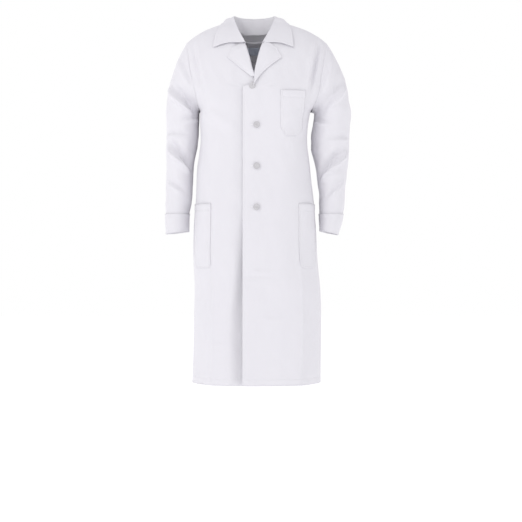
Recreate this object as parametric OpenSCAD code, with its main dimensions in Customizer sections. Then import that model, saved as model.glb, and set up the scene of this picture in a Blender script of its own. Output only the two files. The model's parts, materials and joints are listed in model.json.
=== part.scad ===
// Men's long white lab coat, worn shape, buttoned, arms hanging.
// Frame: origin at the neck base on the shoulder line, +Z up, +X to the wearer's left, front towards -Y.
// Every cloth layer is a closed sheet, thicker than real cloth so that it has a clear solid.

/* [Body] */
// Height of the hem below the shoulder line at the neck
coat_len = 1072; // [900:10:1200]
// Height of the underarm point below the shoulder line
armhole_drop = 262; // [240:2:280]
// Half width of the body at the underarm
chest_half_w = 165; // [155:1:175]
// Half width of the body at the hip
hip_half_w = 182; // [176:1:190]
// Half width of the hem
hem_half_w = 194; // [190:1:215]
// Half depth of the front at the chest
front_half_d = 134; // [120:1:150]
// Half depth of the back at the chest
back_half_d = 124; // [110:1:140]
// Thickness of one modelled cloth layer
cloth_t = 2.4; // [1.8:0.1:2.6]

/* [Front] */
// How far each front passes the centre line
overlap = 41; // [36:1:46]
// Height of the top button below the origin
top_button_z = 193; // [180:1:200]
// Distance between two front buttons
button_pitch = 120; // [110:1:125]
// Number of front buttons
button_count = 4; // [3:1:4]
// Diameter of a front button
button_d = 19; // [15:0.5:22]

/* [Sleeves] */
// Height of the elbow below the origin
elbow_z = 420; // [400:5:440]
// Height of the cuff seam below the origin
cuff_top_z = 570; // [560:1:585]
// Height of the sleeve end below the origin
cuff_end_z = 626; // [610:1:640]
// Distance of the left wrist from the centre plane
left_wrist_x = 222; // [220:1:245]
// Distance of the right wrist from the centre plane
right_wrist_x = 238; // [220:1:245]
// Largest lift of a sleeve in degrees
sleeve_lift = 50; // [20:1:50]

/* [Pockets] */
// Width of the chest pocket
chest_pocket_w = 72; // [60:1:80]
// Height of the chest pocket
chest_pocket_h = 133; // [110:1:140]
// Height of a hip pocket
hip_pocket_h = 190; // [150:5:210]

/* [Skirt] */
// Height of the fold of the overlapping front, where it starts at the front edge
flap_top_z = 590; // [580:5:620]
// Distance of that fold from the centre at the hem
flap_hem_x = 110; // [100:5:120]
// Height of the top of the back vent
vent_top_z = 700; // [650:10:800]

/* [Hidden] */

WHITE = [0.93, 0.92, 0.95];
SHADE = [0.84, 0.83, 0.88];
PEARL = [0.96, 0.96, 0.94];
PAPER = [0.90, 0.90, 0.88];

z0 = -armhole_drop;
zhem = -coat_len;
gap = 0.5;                  // clear space between two layers
layer = cloth_t + gap;      // from one layer's face to the next layer's
tuck_d = 2 * layer + 0.8;   // how far the lower front passes under the upper one

// Half widths and half depths of the body against height, and of the shoulders against v
function body_w(z) = lookup(z, [[zhem, hem_half_w], [-813, (hip_half_w + hem_half_w) / 2 + 1],
    [-600, hip_half_w], [-435, chest_half_w + 6], [z0, chest_half_w]]);
function front_d(z) = lookup(z, [[zhem, front_half_d + 24], [-600, front_half_d + 10], [-440,
    front_half_d], [z0, front_half_d]]);
function back_d(z) = lookup(z, [[zhem, back_half_d + 38], [-700, back_half_d + 24], [-440,
    back_half_d - 4], [z0, back_half_d]]);
function yoke_w(v) = lookup(v, [[0, chest_half_w], [0.08, 206], [0.22, 252], [1, 276]]);
// Power of the rounded outline: 1 is an ellipse, and less is boxier
function power(v) = v < 0 ? 0.78 : lookup(v, [[0, 0.78], [0.22, 1], [1, 1]]);
function pow_s(t, e) = sign(t) * pow(abs(t), e);
function shoulder_z(x) = lookup(abs(x), [[0, 12], [80, 7], [144, -12], [185, -32], [216, -56]]);
function arm_x(v) = chest_half_w + 46 * sin(90 * v);

// A point of the body surface. side -1 is the front and 1 the back. v runs from -1 at the hem
// over 0 at the underarm to 1 at the shoulder line, and a is the angle from the centre plane.
function skin_z(v) = z0 - v * (zhem - z0);
function skin_w(v) = v < 0 ? body_w(skin_z(v)) : yoke_w(v);
function skin_d(side, v) = side < 0 ? (v < 0 ? front_d(skin_z(v)) : front_half_d) : (v < 0
    ? back_d(skin_z(v)) : back_half_d);
function skin_x(a, v) = skin_w(v) * pow_s(sin(a), power(v));
function skin_y(side, a, v) = side * skin_d(side, v) * pow_s(cos(a), power(v));
function skin_at(side, a, v) = v < 0
    ? [skin_x(a, v), skin_y(side, a, v), skin_z(v)]
    : let(x = skin_x(a, v))
      [x, skin_y(side, a, v) * cos(90 * v), z0 + (shoulder_z(x) - z0) * sin(90 * v)];
function unit(p) = p / norm(p);
function skin_n(side, a, v) =
    let(da = 0.4, dv = 0.006,
        ta = skin_at(side, a + da, v) - skin_at(side, a - da, v),
        tv = skin_at(side, a, v + dv) - skin_at(side, a, v - dv))
    unit(cross(ta, tv)) * -side;
function skin_off(side, a, v, off) = skin_at(side, a, v) + off * skin_n(side, a, v);

// The angle and v of a point of the front or the back given by x and z
function skin_v(x, z) = z < z0 ? -(z0 - z) / (z0 - zhem) : asin(min(1,
    (z - z0) / (shoulder_z(x) - z0))) / 90;
function skin_a(x, v) = asin(pow_s(max(-1, min(1, x / skin_w(v))), 1 / power(v)));
function on_skin(side, x, z, off) = let(v = skin_v(x, z)) skin_off(side, skin_a(x, v), v, off);

// The lower front runs deeper near the closure, where the upper front covers it
function ease(t) = let(c = max(0, min(1, t))) c * c * (3 - 2 * c);
function tuck(x) = tuck_d * (1 - ease((x - overlap - 6) / 44));

// A closed sheet between two grids of points. Rows run along v and columns along u.
module sheet(outer, inner, ring = false) {
    n = len(outer);
    m = len(outer[0]);
    cols = ring ? m : m - 1;
    pts = concat([for (r = outer, p = r) p], [for (r = inner, p = r) p]);
    function at(k, i, j) = k * n * m + i * m + (j % m);
    face_o = [for (i = [0:n - 2], j = [0:cols - 1]) each
        [[at(0, i, j), at(0, i + 1, j), at(0, i + 1, j + 1)], [at(0, i, j), at(0, i + 1, j + 1), at(0, i,
            j + 1)]]];
    face_i = [for (i = [0:n - 2], j = [0:cols - 1]) each
        [[at(1, i, j), at(1, i + 1, j + 1), at(1, i + 1, j)], [at(1, i, j), at(1, i, j + 1), at(1, i + 1,
            j + 1)]]];
    ends = [for (j = [0:cols - 1]) each
        [[at(0, 0, j), at(0, 0, j + 1), at(1, 0, j + 1)], [at(0, 0, j), at(1, 0, j + 1), at(1, 0, j)],
         [at(0, n - 1, j), at(1, n - 1, j + 1), at(0, n - 1, j + 1)], [at(0, n - 1, j), at(1, n - 1, j),
             at(1, n - 1, j + 1)]]];
    sides = ring ? [] : [for (i = [0:n - 2]) each
        [[at(0, i, 0), at(1, i + 1, 0), at(0, i + 1, 0)], [at(0, i, 0), at(1, i, 0), at(1, i + 1, 0)],
         [at(0, i, m - 1), at(0, i + 1, m - 1), at(1, i + 1, m - 1)], [at(0, i, m - 1), at(1, i + 1,
             m - 1), at(1, i, m - 1)]]];
    polyhedron(points = pts, faces = concat(face_o, face_i, ends, sides), convexity = 10);
}

// A sheet lying off the body surface between two edges that are given as x against v. Its first columns
// lie at the distances in near from the first edge, so that stacked layers share them.
module skin_sheet(side, vs, x0, x1, cols, off, t, tucked = false, near = []) {
    function grid(o) = [for (k = [0:len(vs) - 1])
        let(v = vs[k], xs = [for (d = near) x0[k] + d],
            a0 = skin_a(len(near) > 0 ? xs[len(near) - 1] : x0[k], v), a1 = cols > 0 ? skin_a(x1[k],
                v) : a0,
            as = concat([for (x = xs) skin_a(x, v)],
                cols > 0 ? [for (j = [len(near) > 0 ? 1 : 0:cols]) a0 + (a1 - a0) * j / cols] : []))
        [for (a = as) skin_off(side, a, v, o - (tucked ? tuck(skin_x(a, v)) : 0))]];
    if (side < 0) sheet(grid(off), grid(off - t));
    else sheet(grid(off - t), grid(off));
}

function steps(a, b, n) = [for (i = [0:n]) a + (b - a) * i / n];
function vz(z) = skin_v(0, z);

// Front edges: the fold of each skirt flap, the closure edge and the roll line of the lapel
break_z = -top_button_z - 8;
function roll_x(z) = lookup(z, [[break_z, -8], [-152, 2], [-87, 19], [-42, 38], [4, 62]]);
function left_fold_x(z) = -overlap + (flap_hem_x + overlap) * (-flap_top_z - z) / (coat_len - flap_top_z);
right_flap_top = flap_top_z + (coat_len - flap_top_z) * 2 * overlap / (flap_hem_x + overlap) + 20;
right_flap_hem = 60;
function right_fold_x(z) = -overlap + (right_flap_hem
    + overlap) * (-right_flap_top - z) / (coat_len - right_flap_top);
function fold_x(z, left) = left ? left_fold_x(z) : right_fold_x(z);
function fold_top(left) = -(left ? flap_top_z : right_flap_top);
function inner_x(z, left) = z > break_z + 1 ? roll_x(z)
    : z > fold_top(left) ? -overlap : fold_x(z, left) + 1;

// The rows of a front panel from the hem to the shoulder line, in three groups, and its columns by the edge
function low_rows(left) = steps(-1, vz(fold_top(left)), 5);
function mid_rows(left) = concat(left ? [vz(-575)] : steps(vz(-860), vz(-575), 3), [vz(-500), vz(-435),
    vz(-340), 0]);
HIGH_ROWS = [vz(break_z), vz(break_z + 2), vz(-152), vz(-110), vz(-60), 0.86, 0.996];
EDGE_COLS = [0, 21, 42, 62, 84];
function row_z(v) = v < 0 ? skin_z(v) : z0 + (shoulder_z(40) - z0) * sin(90 * v);
function edge_x(vs, left) = [for (v = vs) inner_x(row_z(v), left)];
module front_panel(left) {
    vs = concat(low_rows(left), mid_rows(left), HIGH_ROWS);
    x1 = [for (v = vs) v < 0 ? skin_x(89.8, v) : arm_x(v) - 1];
    skin_sheet(-1, vs, edge_x(vs, left), x1, 6, 0, cloth_t, !left, EDGE_COLS);
}
module front_flap(left) {
    zs = steps(zhem, fold_top(left) - 14, 6);
    skin_sheet(-1, [for (z = zs) vz(z)], [for (z = zs) -overlap], [for (z = zs) fold_x(z, left) - 1], 4,
        0, cloth_t, !left);
}
module flap_facing(left) {
    zs = steps(zhem + 16, fold_top(left) - 60, 4);
    skin_sheet(-1, [for (z = zs) vz(z)], [for (z = zs) -overlap + 1],
        [for (z = zs) min(-overlap + 62, fold_x(z, left) - 8)], 2, -layer - 0.3, cloth_t, !left);
}
module front_facing(left) {
    vs = concat(mid_rows(left), [for (k = [0:4]) HIGH_ROWS[k]]);
    skin_sheet(-1, vs, edge_x(vs, left), [], 0, -layer, cloth_t, !left, [0, 21, 42, 62]);
}
module front_interlining() {
    vs = mid_rows(true);
    skin_sheet(-1, vs, edge_x(vs, true), [], 0, -2 * layer, 0.5, false, [0, 21, 42]);
}

// Lapel: folded out along the roll line, on top of the front
tip_z = -113;
notch_z = -81;
function lapel_x(z) = z < tip_z ? lookup(z, [[break_z, -2], [-152, 34], [tip_z, 74]])
    : lookup(z, [[tip_z, 74], [notch_z, 52]]);
module lapel(left) {
    zs = concat(left ? [break_z + 8, -175] : [-160], [-152, -132, tip_z, -97, notch_z - 1]);
    x0 = [for (z = zs) max(left ? -8 : 9, roll_x(z) + 1)];
    skin_sheet(-1, [for (z = zs) vz(z)], x0, [for (k = [0:len(zs) - 1]) max(x0[k] + 4, lapel_x(zs[k]))],
        4, layer + 1.5, cloth_t);
}

// Back panels: centre seam, neckline, vent edge
NECK_ROWS = [0.6, 0.8, 1];
function back_rows() = concat(steps(-1, vz(-vent_top_z), 3), steps(vz(-600), 0, 5), [0.05, 0.12, 0.25,
    0.42], NECK_ROWS);
function neck_cut(x) = 0.72 + 0.276 * ease((abs(x) - 30) / 50);
vent_w = 42;
function vent_fold_x(z) = 3 + (95 - 3) * (-vent_top_z - z) / (coat_len - vent_top_z);
back_cols = 8;
function back_grid(left, vs, to, o) = [for (v = vs)
    let(low = v < vz(-vent_top_z) + 0.001, x0 = low && !left ? vent_fold_x(skin_z(v)) + 1 : 0.4,
        a0 = skin_a(x0, v), a1 = skin_a(v < 0 ? skin_x(89.8, v) : arm_x(v) - 1, v))
    [for (j = [0:to]) let(a = a0 + (a1 - a0) * j / back_cols, x = skin_x(a, v),
        vv = v <= 0.42 ? v : 0.42 + (v - 0.42) / 0.58 * (neck_cut(x) - 0.42))
        skin_off(1, skin_a(x, vv), vv, o)]];
module back_panel(left) {
    sheet(back_grid(left, back_rows(), back_cols, -cloth_t), back_grid(left, back_rows(), back_cols, 0));
}
// The vent's upper leaf is the right back's, and swings out; the underlap lies on the left back's inside
module vent_flap() {
    zs = steps(zhem, -vent_top_z - 30, 4);
    skin_sheet(1, [for (z = zs) vz(z)], [for (z = zs) z > -vent_top_z - 40 ? 5.5 : 1.8],
        [for (z = zs) vent_fold_x(z) - 1], 3, 0, cloth_t);
}
module vent_underlap() {
    zs = steps(zhem + 1, -vent_top_z - 2, 3);
    skin_sheet(1, [for (z = zs) vz(z)], [for (z = zs) -vent_w], [for (z = zs) vent_w - 4], 3,
        -layer - 0.4, cloth_t);
}
module neck_facing() {
    for (m = [0, 1]) mirror([m, 0, 0])
        sheet(back_grid(true, NECK_ROWS, 3, -layer - cloth_t), back_grid(true, NECK_ROWS, 3, -layer));
}

// Collar: base, fold and edge curves from the centre back (u = 0) to the front end (u = 1)
function curve(u, t) = let(w = abs(u)) [sign(u) * lookup(w, t[0]), lookup(w, t[1]), lookup(w, t[2])];
FOLD = [[[0, 0], [0.2, 34], [0.4, 57], [0.55, 62], [0.75, 50], [1, 25]],
        [[0, 66], [0.2, 58], [0.4, 31], [0.55, -2], [0.75, -59], [1, -108]],
        [[0, 37], [0.4, 38], [0.55, 30], [0.75, -12], [1, -70]]];
EDGE = [[[0, 0], [0.2, 42], [0.4, 77], [0.55, 93], [0.75, 104], [1, 112]],
        [[0, 102], [0.2, 95], [0.4, 64], [0.55, 18], [0.75, -53], [1, -105]],
        [[0, -10], [0.2, -5], [0.4, 9], [0.55, 17], [0.75, -13], [1, -79]]];
BASE = [[[0, 0], [0.2, 31], [0.4, 52], [0.55, 58], [0.75, 46], [1, 23]],
        [[0, 63], [0.2, 54], [0.4, 28], [0.55, -3], [0.75, -50], [1, -92]],
        [[0, 4], [0.4, 8], [0.55, 10], [0.75, -22], [1, -74]]];
collar_n = 20;
function bulge(t) = 4 * t * (1 - t);
function collar_pt(u, t, off) = let(a = curve(u, FOLD), b = curve(u, EDGE), out = unit([a[0] * 0.9,
    a[1] * 0.9 - 2, 14]))
    a + (b - a) * t + out * (off + (4 + 4 * abs(u)) * bulge(t));
function stand_pt(u, t, off) = let(a = curve(u, BASE), b = curve(u, FOLD), out = unit([b[0] + 0.01, b[1],
    0]))
    a + (b - a) * t + out * off;
function us() = [for (i = [-collar_n / 2:collar_n / 2]) i * 2 / collar_n];
module fall(off, t, from, to) {
    function grid(o) = [for (s = steps(to, from, 3)) [for (u = us()) collar_pt(u, s, o)]];
    sheet(grid(off - t), grid(off));
}
module stand() {
    function grid(o) = [for (s = steps(0, 0.8, 2)) [for (u = us()) stand_pt(u, s, o)]];
    sheet(grid(-3 - cloth_t), grid(-3));
}

// Hanger loop and blank label, inside the back neck
loop_w = 58;
loop_bow = 14;
module hanger_loop() {
    rs = steps(-1, 1, 8);
    function grid(dz) = [for (r = rs) [for (dy = [0, 1.6])
        let(p = on_skin(1, r * loop_w / 2, -34, -3 * layer)) [p[0], p[1] - dy - loop_bow * (1 - r * r),
            -40 + dz]]];
    lo = grid(0);
    hi = grid(6);
    sheet(lo, hi);
}
module care_label() {
    vs = [0.38, 0.44, 0.475];
    skin_sheet(1, vs, [-19, -19, -19], [19, 19, 19], 2, -layer - 1.6, 1);
}

// Pockets stand off the panel in the middle, so that a hand or a pen goes in
module patch_pocket(z_top, z_low, x0, x1, corner, lift) {
    zs = [for (t = [0, 0.12, 0.5, 0.8, 0.97]) z_low + (z_top - z_low) * t];
    cs = steps(0, 1, 8);
    function edge0(k) = k == 0 ? x0 + corner : x0;
    function edge1(k) = k == 0 ? x1 - corner : x1;
    function grid(o) = [for (k = [0:4]) let(v = vz(zs[k]), a0 = skin_a(edge0(k), v), a1 = skin_a(edge1(k),
        v),
        up = min(1, 1.6 * k / 4)) [for (c = cs)
            skin_off(-1, a0 + (a1 - a0) * c, v, o + 2 * gap + cloth_t + lift * up * sin(180 * c))]];
    sheet(grid(0), grid(-cloth_t));
}
chest_x = 70;
chest_z = -211;
hip_z = -541;
hip_x = 128;
module chest_pocket() { patch_pocket(chest_z, chest_z - chest_pocket_h, chest_x, chest_x + chest_pocket_w,
    15, 10); }
module hip_pocket() { patch_pocket(hip_z, hip_z - hip_pocket_h, hip_x, hip_half_w - 5, 8, 20); }

// Buttons with four holes, sewn on the lower front and passed through the upper front
button_t = 3;
thread_gap = 1.2;
function button_z(k) = -top_button_z - k * button_pitch;
function front_y(z) = on_skin(-1, 0, z, 0)[1];
module button(d, t) {
    rotate([90, 0, 0]) difference() {
        union() {
            cylinder(d = d, h = t * 0.6, $fn = 48);
            difference() {
                cylinder(d = d - 1.2, h = t, $fn = 48);
                translate([0, 0, t * 0.7]) cylinder(d = d - 5, h = t, $fn = 48);
            }
        }
        for (x = [-1.7, 1.7], y = [-1.7, 1.7]) translate([x, y, -1]) cylinder(d = 1.8, h = t + 2, $fn = 16);
    }
}
module front_buttons() {
    for (k = [0:button_count - 1]) translate([0, front_y(button_z(k)) - thread_gap - (k == 0 ? 7 : 0),
        button_z(k)]) button(button_d, button_t);
}
module button_threads() {
    for (k = [0:button_count - 1]) translate([0, front_y(button_z(k)) - 0.3 - (k == 0 ? 7 : 0),
        button_z(k)])
        rotate([90, 0, 0]) cylinder(d = 3.4, h = thread_gap - 0.5, $fn = 24);
}
module buttonhole_stitches() {
    for (k = [1:button_count - 1]) translate([-14, front_y(button_z(k)) - 0.75, button_z(k)])
        cube([7, 0.6, 3], center = true);
}

// Half belt across the back waist
belt_z = -430;
belt_off = layer + 1;
module back_belt() {
    zs = [belt_z - 22, belt_z + 22];
    skin_sheet(1, [for (z = zs) vz(z)], [-112, -112], [112, 112], 10, belt_off, cloth_t);
}
module belt_buttons() {
    for (s = [-1, 1]) translate(on_skin(1, s * 92, belt_z, belt_off + button_t + 0.6))
        rotate([0, 0, 180 - s * 33]) button(button_d, button_t);
}

// Sleeves are built for the wearer's left and mirrored. Rings fan about the underarm point, then run down.
pivot_x = 169;
pivot_z = z0 - 4;
pivot_r = 4;
head_from = 75;
function fan_r(a) = lookup(a, [[0, 113], [10, 113], [34, 122], [57, 152], [75, 206]]);
function fan_ring(a, off, n = 20) = [for (j = [0:n - 1]) let(q = 360 * j / n,
    mid = (fan_r(a) + pivot_r) / 2, half = (fan_r(a) - pivot_r) / 2 + off,
    r = mid + half * cos(q), dep = lookup(a, [[0, 70], [75, 84]]) + off)
    [pivot_x + r * cos(a), dep * sin(q) + 2, pivot_z + r * sin(a)]];
function arm_c(z, wx) = lookup(-z, [[-pivot_z, pivot_x + (113 + pivot_r) / 2], [345, 229], [elbow_z,
    227 + (wx - 222) / 3],
    [cuff_end_z, wx]]);
function arm_y(z) = lookup(-z, [[-pivot_z, 2], [elbow_z, 4], [cuff_end_z, -18]]);
function arm_w(z) = lookup(-z, [[-pivot_z, (113 - pivot_r) / 2], [345, 48], [elbow_z, 42], [cuff_top_z,
    31], [cuff_end_z, 30.5]]);
function arm_d(z) = lookup(-z, [[-pivot_z, 70], [345, 66], [elbow_z, 60], [cuff_top_z, 50], [cuff_end_z,
    49]]);
function arm_ring(z, wx, off, n = 20) = [for (j = [0:n - 1]) let(q = 360 * j / n)
    [arm_c(z, wx) + (arm_w(z) + off) * cos(q), arm_y(z) + (arm_d(z) + off) * sin(q), z]];
module fan(a0, a1, n) {
    as = steps(a0, a1, n);
    sheet([for (a = as) fan_ring(a, 0)], [for (a = as) fan_ring(a, -cloth_t)], true);
}
module arm(zs, wx, off = 0, t = cloth_t) {
    sheet([for (z = zs) arm_ring(z, wx, off - t)], [for (z = zs) arm_ring(z, wx, off)], true);
}
elbow_half = 46;
module sleeve_head() { fan(head_from, sleeve_lift + 1, 3); }
module sleeve_gather() { fan(sleeve_lift - 1, 2, 5); }
module upper_sleeve(wx) { arm(steps(pivot_z - 1, -elbow_z + elbow_half, 3), wx); }
module elbow_fold(wx) { arm(steps(-elbow_z + elbow_half - 1, -elbow_z - elbow_half + 1, 3), wx); }
module forearm_sleeve(wx) { arm(steps(-elbow_z - elbow_half, -cuff_top_z, 3), wx); }
module cuff(wx) { arm(steps(-cuff_top_z - 0.5, -cuff_end_z, 2), wx, 1); }
module cuff_facing(wx) { arm(steps(-cuff_top_z - 3, -cuff_end_z + 1, 1), wx, 1 - layer, 1.2); }
module flip() { mirror([1, 0, 0]) children(); }

color(WHITE) front_panel(true);  // left_front_panel
color(WHITE) flip() front_panel(false);  // right_front_panel
color(WHITE) back_panel(true);  // left_back_panel
color(WHITE) flip() back_panel(false);  // right_back_panel
color(SHADE) front_facing(true);  // left_front_facing
color(SHADE) flip() front_facing(false);  // right_front_facing
color(PAPER) front_interlining();  // left_front_interlining
color(WHITE) lapel(true);  // left_lapel
color(WHITE) flip() lapel(false);  // right_lapel
color(WHITE) fall(3.3, cloth_t, 0, 1);  // upper_collar
color(SHADE) fall(0.4, cloth_t, 0, 1);  // under_collar
color(SHADE) stand();  // collar_stand
color(SHADE) neck_facing();  // back_neck_facing
color(WHITE) hanger_loop();
color(PAPER) care_label();
color(WHITE) chest_pocket();
color(WHITE) hip_pocket();  // left_hip_pocket
color(WHITE) flip() hip_pocket();  // right_hip_pocket
color(PEARL) front_buttons();
color(WHITE) button_threads();
color(SHADE) buttonhole_stitches();
color(WHITE) back_belt();
color(PEARL) belt_buttons();
color(WHITE) front_flap(true);  // left_front_flap
color(SHADE) flap_facing(true);  // left_flap_facing
color(WHITE) flip() front_flap(false);  // right_front_flap
color(SHADE) flip() flap_facing(false);  // right_flap_facing
color(WHITE) flip() vent_flap();  // back_vent_flap
color(SHADE) flip() vent_underlap();  // back_vent_underlap
color(WHITE) sleeve_head();  // left_sleeve_head
color(WHITE) sleeve_gather();  // left_sleeve_gather
color(WHITE) upper_sleeve(left_wrist_x);  // left_upper_sleeve
color(WHITE) elbow_fold(left_wrist_x);  // left_elbow_fold
color(WHITE) forearm_sleeve(left_wrist_x);  // left_forearm_sleeve
color(WHITE) cuff(left_wrist_x);  // left_cuff
color(SHADE) cuff_facing(left_wrist_x);  // left_cuff_facing
color(WHITE) flip() sleeve_head();  // right_sleeve_head
color(WHITE) flip() sleeve_gather();  // right_sleeve_gather
color(WHITE) flip() upper_sleeve(right_wrist_x);  // right_upper_sleeve
color(WHITE) flip() elbow_fold(right_wrist_x);  // right_elbow_fold
color(WHITE) flip() forearm_sleeve(right_wrist_x);  // right_forearm_sleeve
color(WHITE) flip() cuff(right_wrist_x);  // right_cuff
color(SHADE) flip() cuff_facing(right_wrist_x);  // right_cuff_facing
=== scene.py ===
# %% [markdown]
# # A long white lab coat
#
# The coat is cut from one poly-cotton twill and keeps the shape that a wearer gives it. It is built
# piece by piece, as a tailor would: fronts, backs, facings, collar, lapels, pockets, sleeves and
# cuffs, then stitches and buttons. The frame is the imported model: every place and size starts from
# it. First the frame is loaded and its box kept.

import json
import math

import bmesh
import bpy
import numpy as np
from mathutils import Matrix, Vector, noise

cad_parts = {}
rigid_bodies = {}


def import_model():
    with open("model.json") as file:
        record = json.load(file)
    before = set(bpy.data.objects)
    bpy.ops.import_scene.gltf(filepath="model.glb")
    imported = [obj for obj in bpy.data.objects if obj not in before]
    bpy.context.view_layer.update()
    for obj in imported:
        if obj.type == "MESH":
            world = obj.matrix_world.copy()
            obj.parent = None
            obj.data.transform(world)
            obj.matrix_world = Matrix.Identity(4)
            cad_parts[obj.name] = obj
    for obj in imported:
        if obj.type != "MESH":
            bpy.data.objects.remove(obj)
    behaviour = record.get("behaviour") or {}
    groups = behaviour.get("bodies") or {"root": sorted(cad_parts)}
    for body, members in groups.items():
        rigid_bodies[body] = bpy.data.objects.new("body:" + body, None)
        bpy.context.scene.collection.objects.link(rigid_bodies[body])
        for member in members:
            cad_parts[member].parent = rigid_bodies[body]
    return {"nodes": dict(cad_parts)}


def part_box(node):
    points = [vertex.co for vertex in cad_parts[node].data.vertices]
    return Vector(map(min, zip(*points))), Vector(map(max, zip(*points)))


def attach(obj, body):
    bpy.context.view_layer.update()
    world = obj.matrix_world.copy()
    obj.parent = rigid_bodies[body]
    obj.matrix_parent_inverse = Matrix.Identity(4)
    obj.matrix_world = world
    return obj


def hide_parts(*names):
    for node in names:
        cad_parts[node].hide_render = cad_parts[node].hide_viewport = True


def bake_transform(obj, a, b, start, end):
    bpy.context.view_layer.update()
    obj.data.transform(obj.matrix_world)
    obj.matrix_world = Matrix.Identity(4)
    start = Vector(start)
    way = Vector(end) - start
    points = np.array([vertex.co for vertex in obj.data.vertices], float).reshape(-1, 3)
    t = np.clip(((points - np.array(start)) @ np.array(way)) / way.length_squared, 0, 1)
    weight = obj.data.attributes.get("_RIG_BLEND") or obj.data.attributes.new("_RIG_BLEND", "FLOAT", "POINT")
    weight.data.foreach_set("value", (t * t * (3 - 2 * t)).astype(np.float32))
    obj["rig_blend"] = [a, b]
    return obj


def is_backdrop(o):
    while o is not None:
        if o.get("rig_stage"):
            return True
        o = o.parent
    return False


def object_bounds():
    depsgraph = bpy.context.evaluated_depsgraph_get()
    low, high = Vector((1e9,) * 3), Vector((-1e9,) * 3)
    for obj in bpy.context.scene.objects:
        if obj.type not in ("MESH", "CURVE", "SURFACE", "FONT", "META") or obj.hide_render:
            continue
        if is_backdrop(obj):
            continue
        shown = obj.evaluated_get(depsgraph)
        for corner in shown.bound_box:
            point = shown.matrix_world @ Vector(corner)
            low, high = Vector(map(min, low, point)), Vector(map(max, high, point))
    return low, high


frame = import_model()
cad_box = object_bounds()
NODES = frame["nodes"]
print("nodes in the frame:", len(NODES))

# %% [markdown]
# The camera comes first. It stands 3.6 m in front of the coat, level with its middle, with a long
# lens, so that the coat shows almost without perspective, as a catalogue view does.

# %% Camera
CAMERA_DISTANCE = 3.6
CAMERA_X = 0.0127
CAMERA_Z = -0.710
SENSOR = 36.0
LENS = 82.2
camera_data = bpy.data.cameras.new("camera")
camera_data.sensor_width = SENSOR
camera_data.lens = LENS
camera = bpy.data.objects.new("camera", camera_data)
camera.location = (CAMERA_X, -CAMERA_DISTANCE, CAMERA_Z)
camera.rotation_euler = (math.radians(90), 0, 0)
bpy.context.scene.collection.objects.link(camera)
bpy.context.scene.camera = camera
print("camera at", tuple(round(c, 3) for c in camera.location))

# %% [markdown]
# ## Curves
#
# A pattern cutter draws smooth lines through a few marks. `smooth` does the same: it runs a curve
# through pairs of (place, value) without overshooting between them. `ease` fades from 0 to 1, and
# `bump` is a soft ridge.

# %% Helpers for smooth lines
def smooth(t, marks):
    """Value at t of a smooth curve through the marks, held flat beyond the first and the last."""
    if marks[0][0] > marks[-1][0]:
        marks = marks[::-1]
    if t <= marks[0][0]:
        return marks[0][1]
    if t >= marks[-1][0]:
        return marks[-1][1]
    k = max(i for i in range(len(marks) - 1) if marks[i][0] <= t)
    slopes = [(b[1] - a[1]) / (b[0] - a[0]) for a, b in zip(marks, marks[1:])]

    def tangent(i):
        if i == 0:
            return slopes[0]
        if i == len(slopes):
            return slopes[-1]
        a, b = slopes[i - 1], slopes[i]
        return 0.0 if a * b <= 0 else 2 * a * b / (a + b)

    h = marks[k + 1][0] - marks[k][0]
    s = (t - marks[k][0]) / h
    return ((1 + 2 * s) * (1 - s) ** 2 * marks[k][1] + s * (1 - s) ** 2 * h * tangent(k)
            + s * s * (3 - 2 * s) * marks[k + 1][1] + s * s * (s - 1) * h * tangent(k + 1))


def ease(t):
    """From 0 at t = 0 to 1 at t = 1, without a corner."""
    t = min(1.0, max(0.0, t))
    return t * t * (3 - 2 * t)


def bump(distance, width):
    return math.exp(-((distance / width) ** 2))


def steps(a, b, n):
    return [a + (b - a) * i / n for i in range(n + 1)]


def signed_power(t, e):
    return math.copysign(abs(t) ** e, t)


print("half way up an ease:", ease(0.5))

# %% [markdown]
# ## The body of the coat as one surface
#
# The fronts and backs hang on one rounded surface. A point on it is named by its side (-1 front, 1
# back), the angle `a` from the centre plane and `v`, which runs from -1 at the hem over 0 at the
# underarm to 1 at the shoulder line. The widths and depths follow the frame; the surface is
# smoother than the frame's plain solids.

# %% Main sizes, from the frame
HEM_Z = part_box("left_front_flap")[0].z
UNDERARM_Z = -0.262
CUFF_TOP_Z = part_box("left_cuff")[1].z
CUFF_END_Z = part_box("left_cuff")[0].z
OVERLAP = -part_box("left_front_flap")[0].x
BREAK_Z = -0.201
WIDTH = [(HEM_Z, 0.194), (-0.813, 0.190), (-0.6, 0.184), (-0.435, 0.170), (-0.344, 0.160),
         (UNDERARM_Z, 0.166)]
FRONT_DEPTH = [(HEM_Z, 0.157), (-0.6, 0.144), (-0.44, 0.134), (UNDERARM_Z, 0.134)]
BACK_DEPTH = [(HEM_Z, 0.161), (-0.7, 0.147), (-0.44, 0.121), (UNDERARM_Z, 0.124)]
YOKE_WIDTH = [(0, 0.166), (0.08, 0.193), (0.22, 0.233), (0.5, 0.262), (1, 0.276)]
ROUNDNESS = [(-1, 0.80), (-0.3, 0.74), (0, 0.62), (0.1, 0.72), (0.3, 0.94), (1, 1.0)]
SHOULDER = [(0, 0.012), (0.08, 0.007), (0.144, -0.0115), (0.185, -0.0335), (0.216, -0.057)]
print("hem at", round(HEM_Z, 3), "cuff from", round(CUFF_TOP_Z, 3), "to", round(CUFF_END_Z, 3))

# %% [markdown]
# Cloth is never quite smooth. `folds` says how far it stands off the plain surface at a place: long
# soft drapes that grow towards the hem, pressed creases below the pockets, pull lines at the
# underarm, and a shallow trough beside the closing edge. All layers share it, so that a pocket or a
# stitch lies on its panel everywhere. At a seam the folds of both sides agree.

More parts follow.
